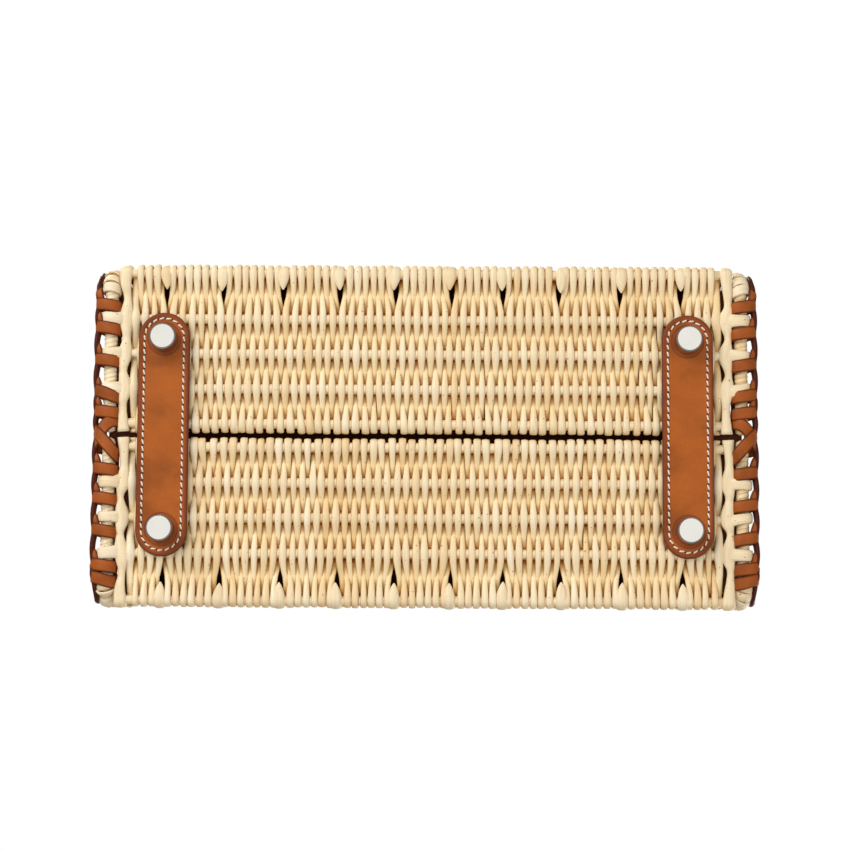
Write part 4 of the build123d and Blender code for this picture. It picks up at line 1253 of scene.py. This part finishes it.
class BAG_OT_stage(bpy.types.Operator):
    """Sets up the floor, the light and the camera"""
    bl_idname = "bag.stage"
    bl_label = "Stage"

    def execute(self, context):
        scene = context.scene
        scene.view_settings.view_transform = "Standard"
        bm = bmesh.new()
        bmesh.ops.create_circle(bm, cap_ends=True, segments=64, radius=4.0)
        floor = link_shape("floor", bm, floor_material())
        for ray in ("shadow", "diffuse", "glossy", "transmission"):
            setattr(floor, f"visible_{ray}", False)
        world = bpy.data.worlds.new("studio")
        scene.world = world
        world.use_nodes = True
        tree = world.node_tree
        # A dim room that is bright straight up and straight down, where the feet's flat faces mirror it
        split = add(tree, "SeparateXYZ", {0: add(tree, "TexCoord").outputs["Generated"]})
        room = ramp(tree, maths(tree, "ABSOLUTE", split.outputs[2]), [
            (0.0, (0.2, 0.2, 0.21, 1)), (0.5, (0.42, 0.42, 0.42, 1)), (0.94, (0.6, 0.6, 0.6, 1)),
            (0.965, (1.16, 1.15, 1.13, 1))])
        seen = mix(tree, add(tree, "LightPath").outputs["Is Camera Ray"], room, (1, 1, 1, 1))
        tree.links.new(seen, tree.nodes["Background"].inputs["Color"])
        for name, place, target_z, size, watts in (("softbox_below", (-0.72, -0.72, -0.8), 0.01, 1.1, 13.0),
                                                   ("fill_below", (0.75, 0.6, -0.8), 0.01, 1.0, 4.0),
                                                   ("key_above", (-0.7, -0.9, 1.1), 0.07, 0.8, 22.0),
                                                   ("fill_above", (0.9, 0.5, 0.9), 0.07, 1.0, 9.0)):
            soft_light(name, place, (0, 0, target_z), size, watts)
        data = bpy.data.cameras.new("camera")
        data.lens, data.sensor_width = 102.4, 36.0
        camera = link("camera", data)
        camera.location = CAMERA_AT
        aim(camera, CAMERA_AIM, roll=math.radians(0.3), up=(0, -1, 0))
        scene.camera = camera
        return {"FINISHED"}


class BAG_PT_panel(bpy.types.Panel):
    bl_idname = "BAG_PT_panel"
    bl_label = "Basket box bag"
    bl_space_type = "VIEW_3D"
    bl_region_type = "UI"
    bl_category = "Bag"

    def draw(self, context):
        layout = self.layout
        for settings in (context.scene.bag_sizes, context.scene.bag_colours):
            for key in settings.bl_rna.properties.keys():
                if key not in ("rna_type", "name"):
                    layout.prop(settings, key)
        for step in STEPS:
            layout.operator(step.bl_idname)


STEPS = (
    BAG_OT_base_mats,
    BAG_OT_walls,
    BAG_OT_edge_rods,
    BAG_OT_lacing,
    BAG_OT_base_tabs,
    BAG_OT_body_leather,
    BAG_OT_lid,
    BAG_OT_clasp_and_handle,
    BAG_OT_fittings,
    BAG_OT_stage,
)
CLASSES = (BagSizes, BagColours) + STEPS + (BAG_PT_panel,)


def register():
    for item in CLASSES:
        bpy.utils.register_class(item)
    bpy.types.Scene.bag_sizes = bpy.props.PointerProperty(type=BagSizes)
    bpy.types.Scene.bag_colours = bpy.props.PointerProperty(type=BagColours)


def unregister():
    del bpy.types.Scene.bag_colours
    del bpy.types.Scene.bag_sizes
    for item in reversed(CLASSES):
        bpy.utils.unregister_class(item)


def main():
    register()
    for step in STEPS:
        group, name = step.bl_idname.split(".")
        getattr(getattr(bpy.ops, group), name)()


if __name__ == "__main__":
    main()
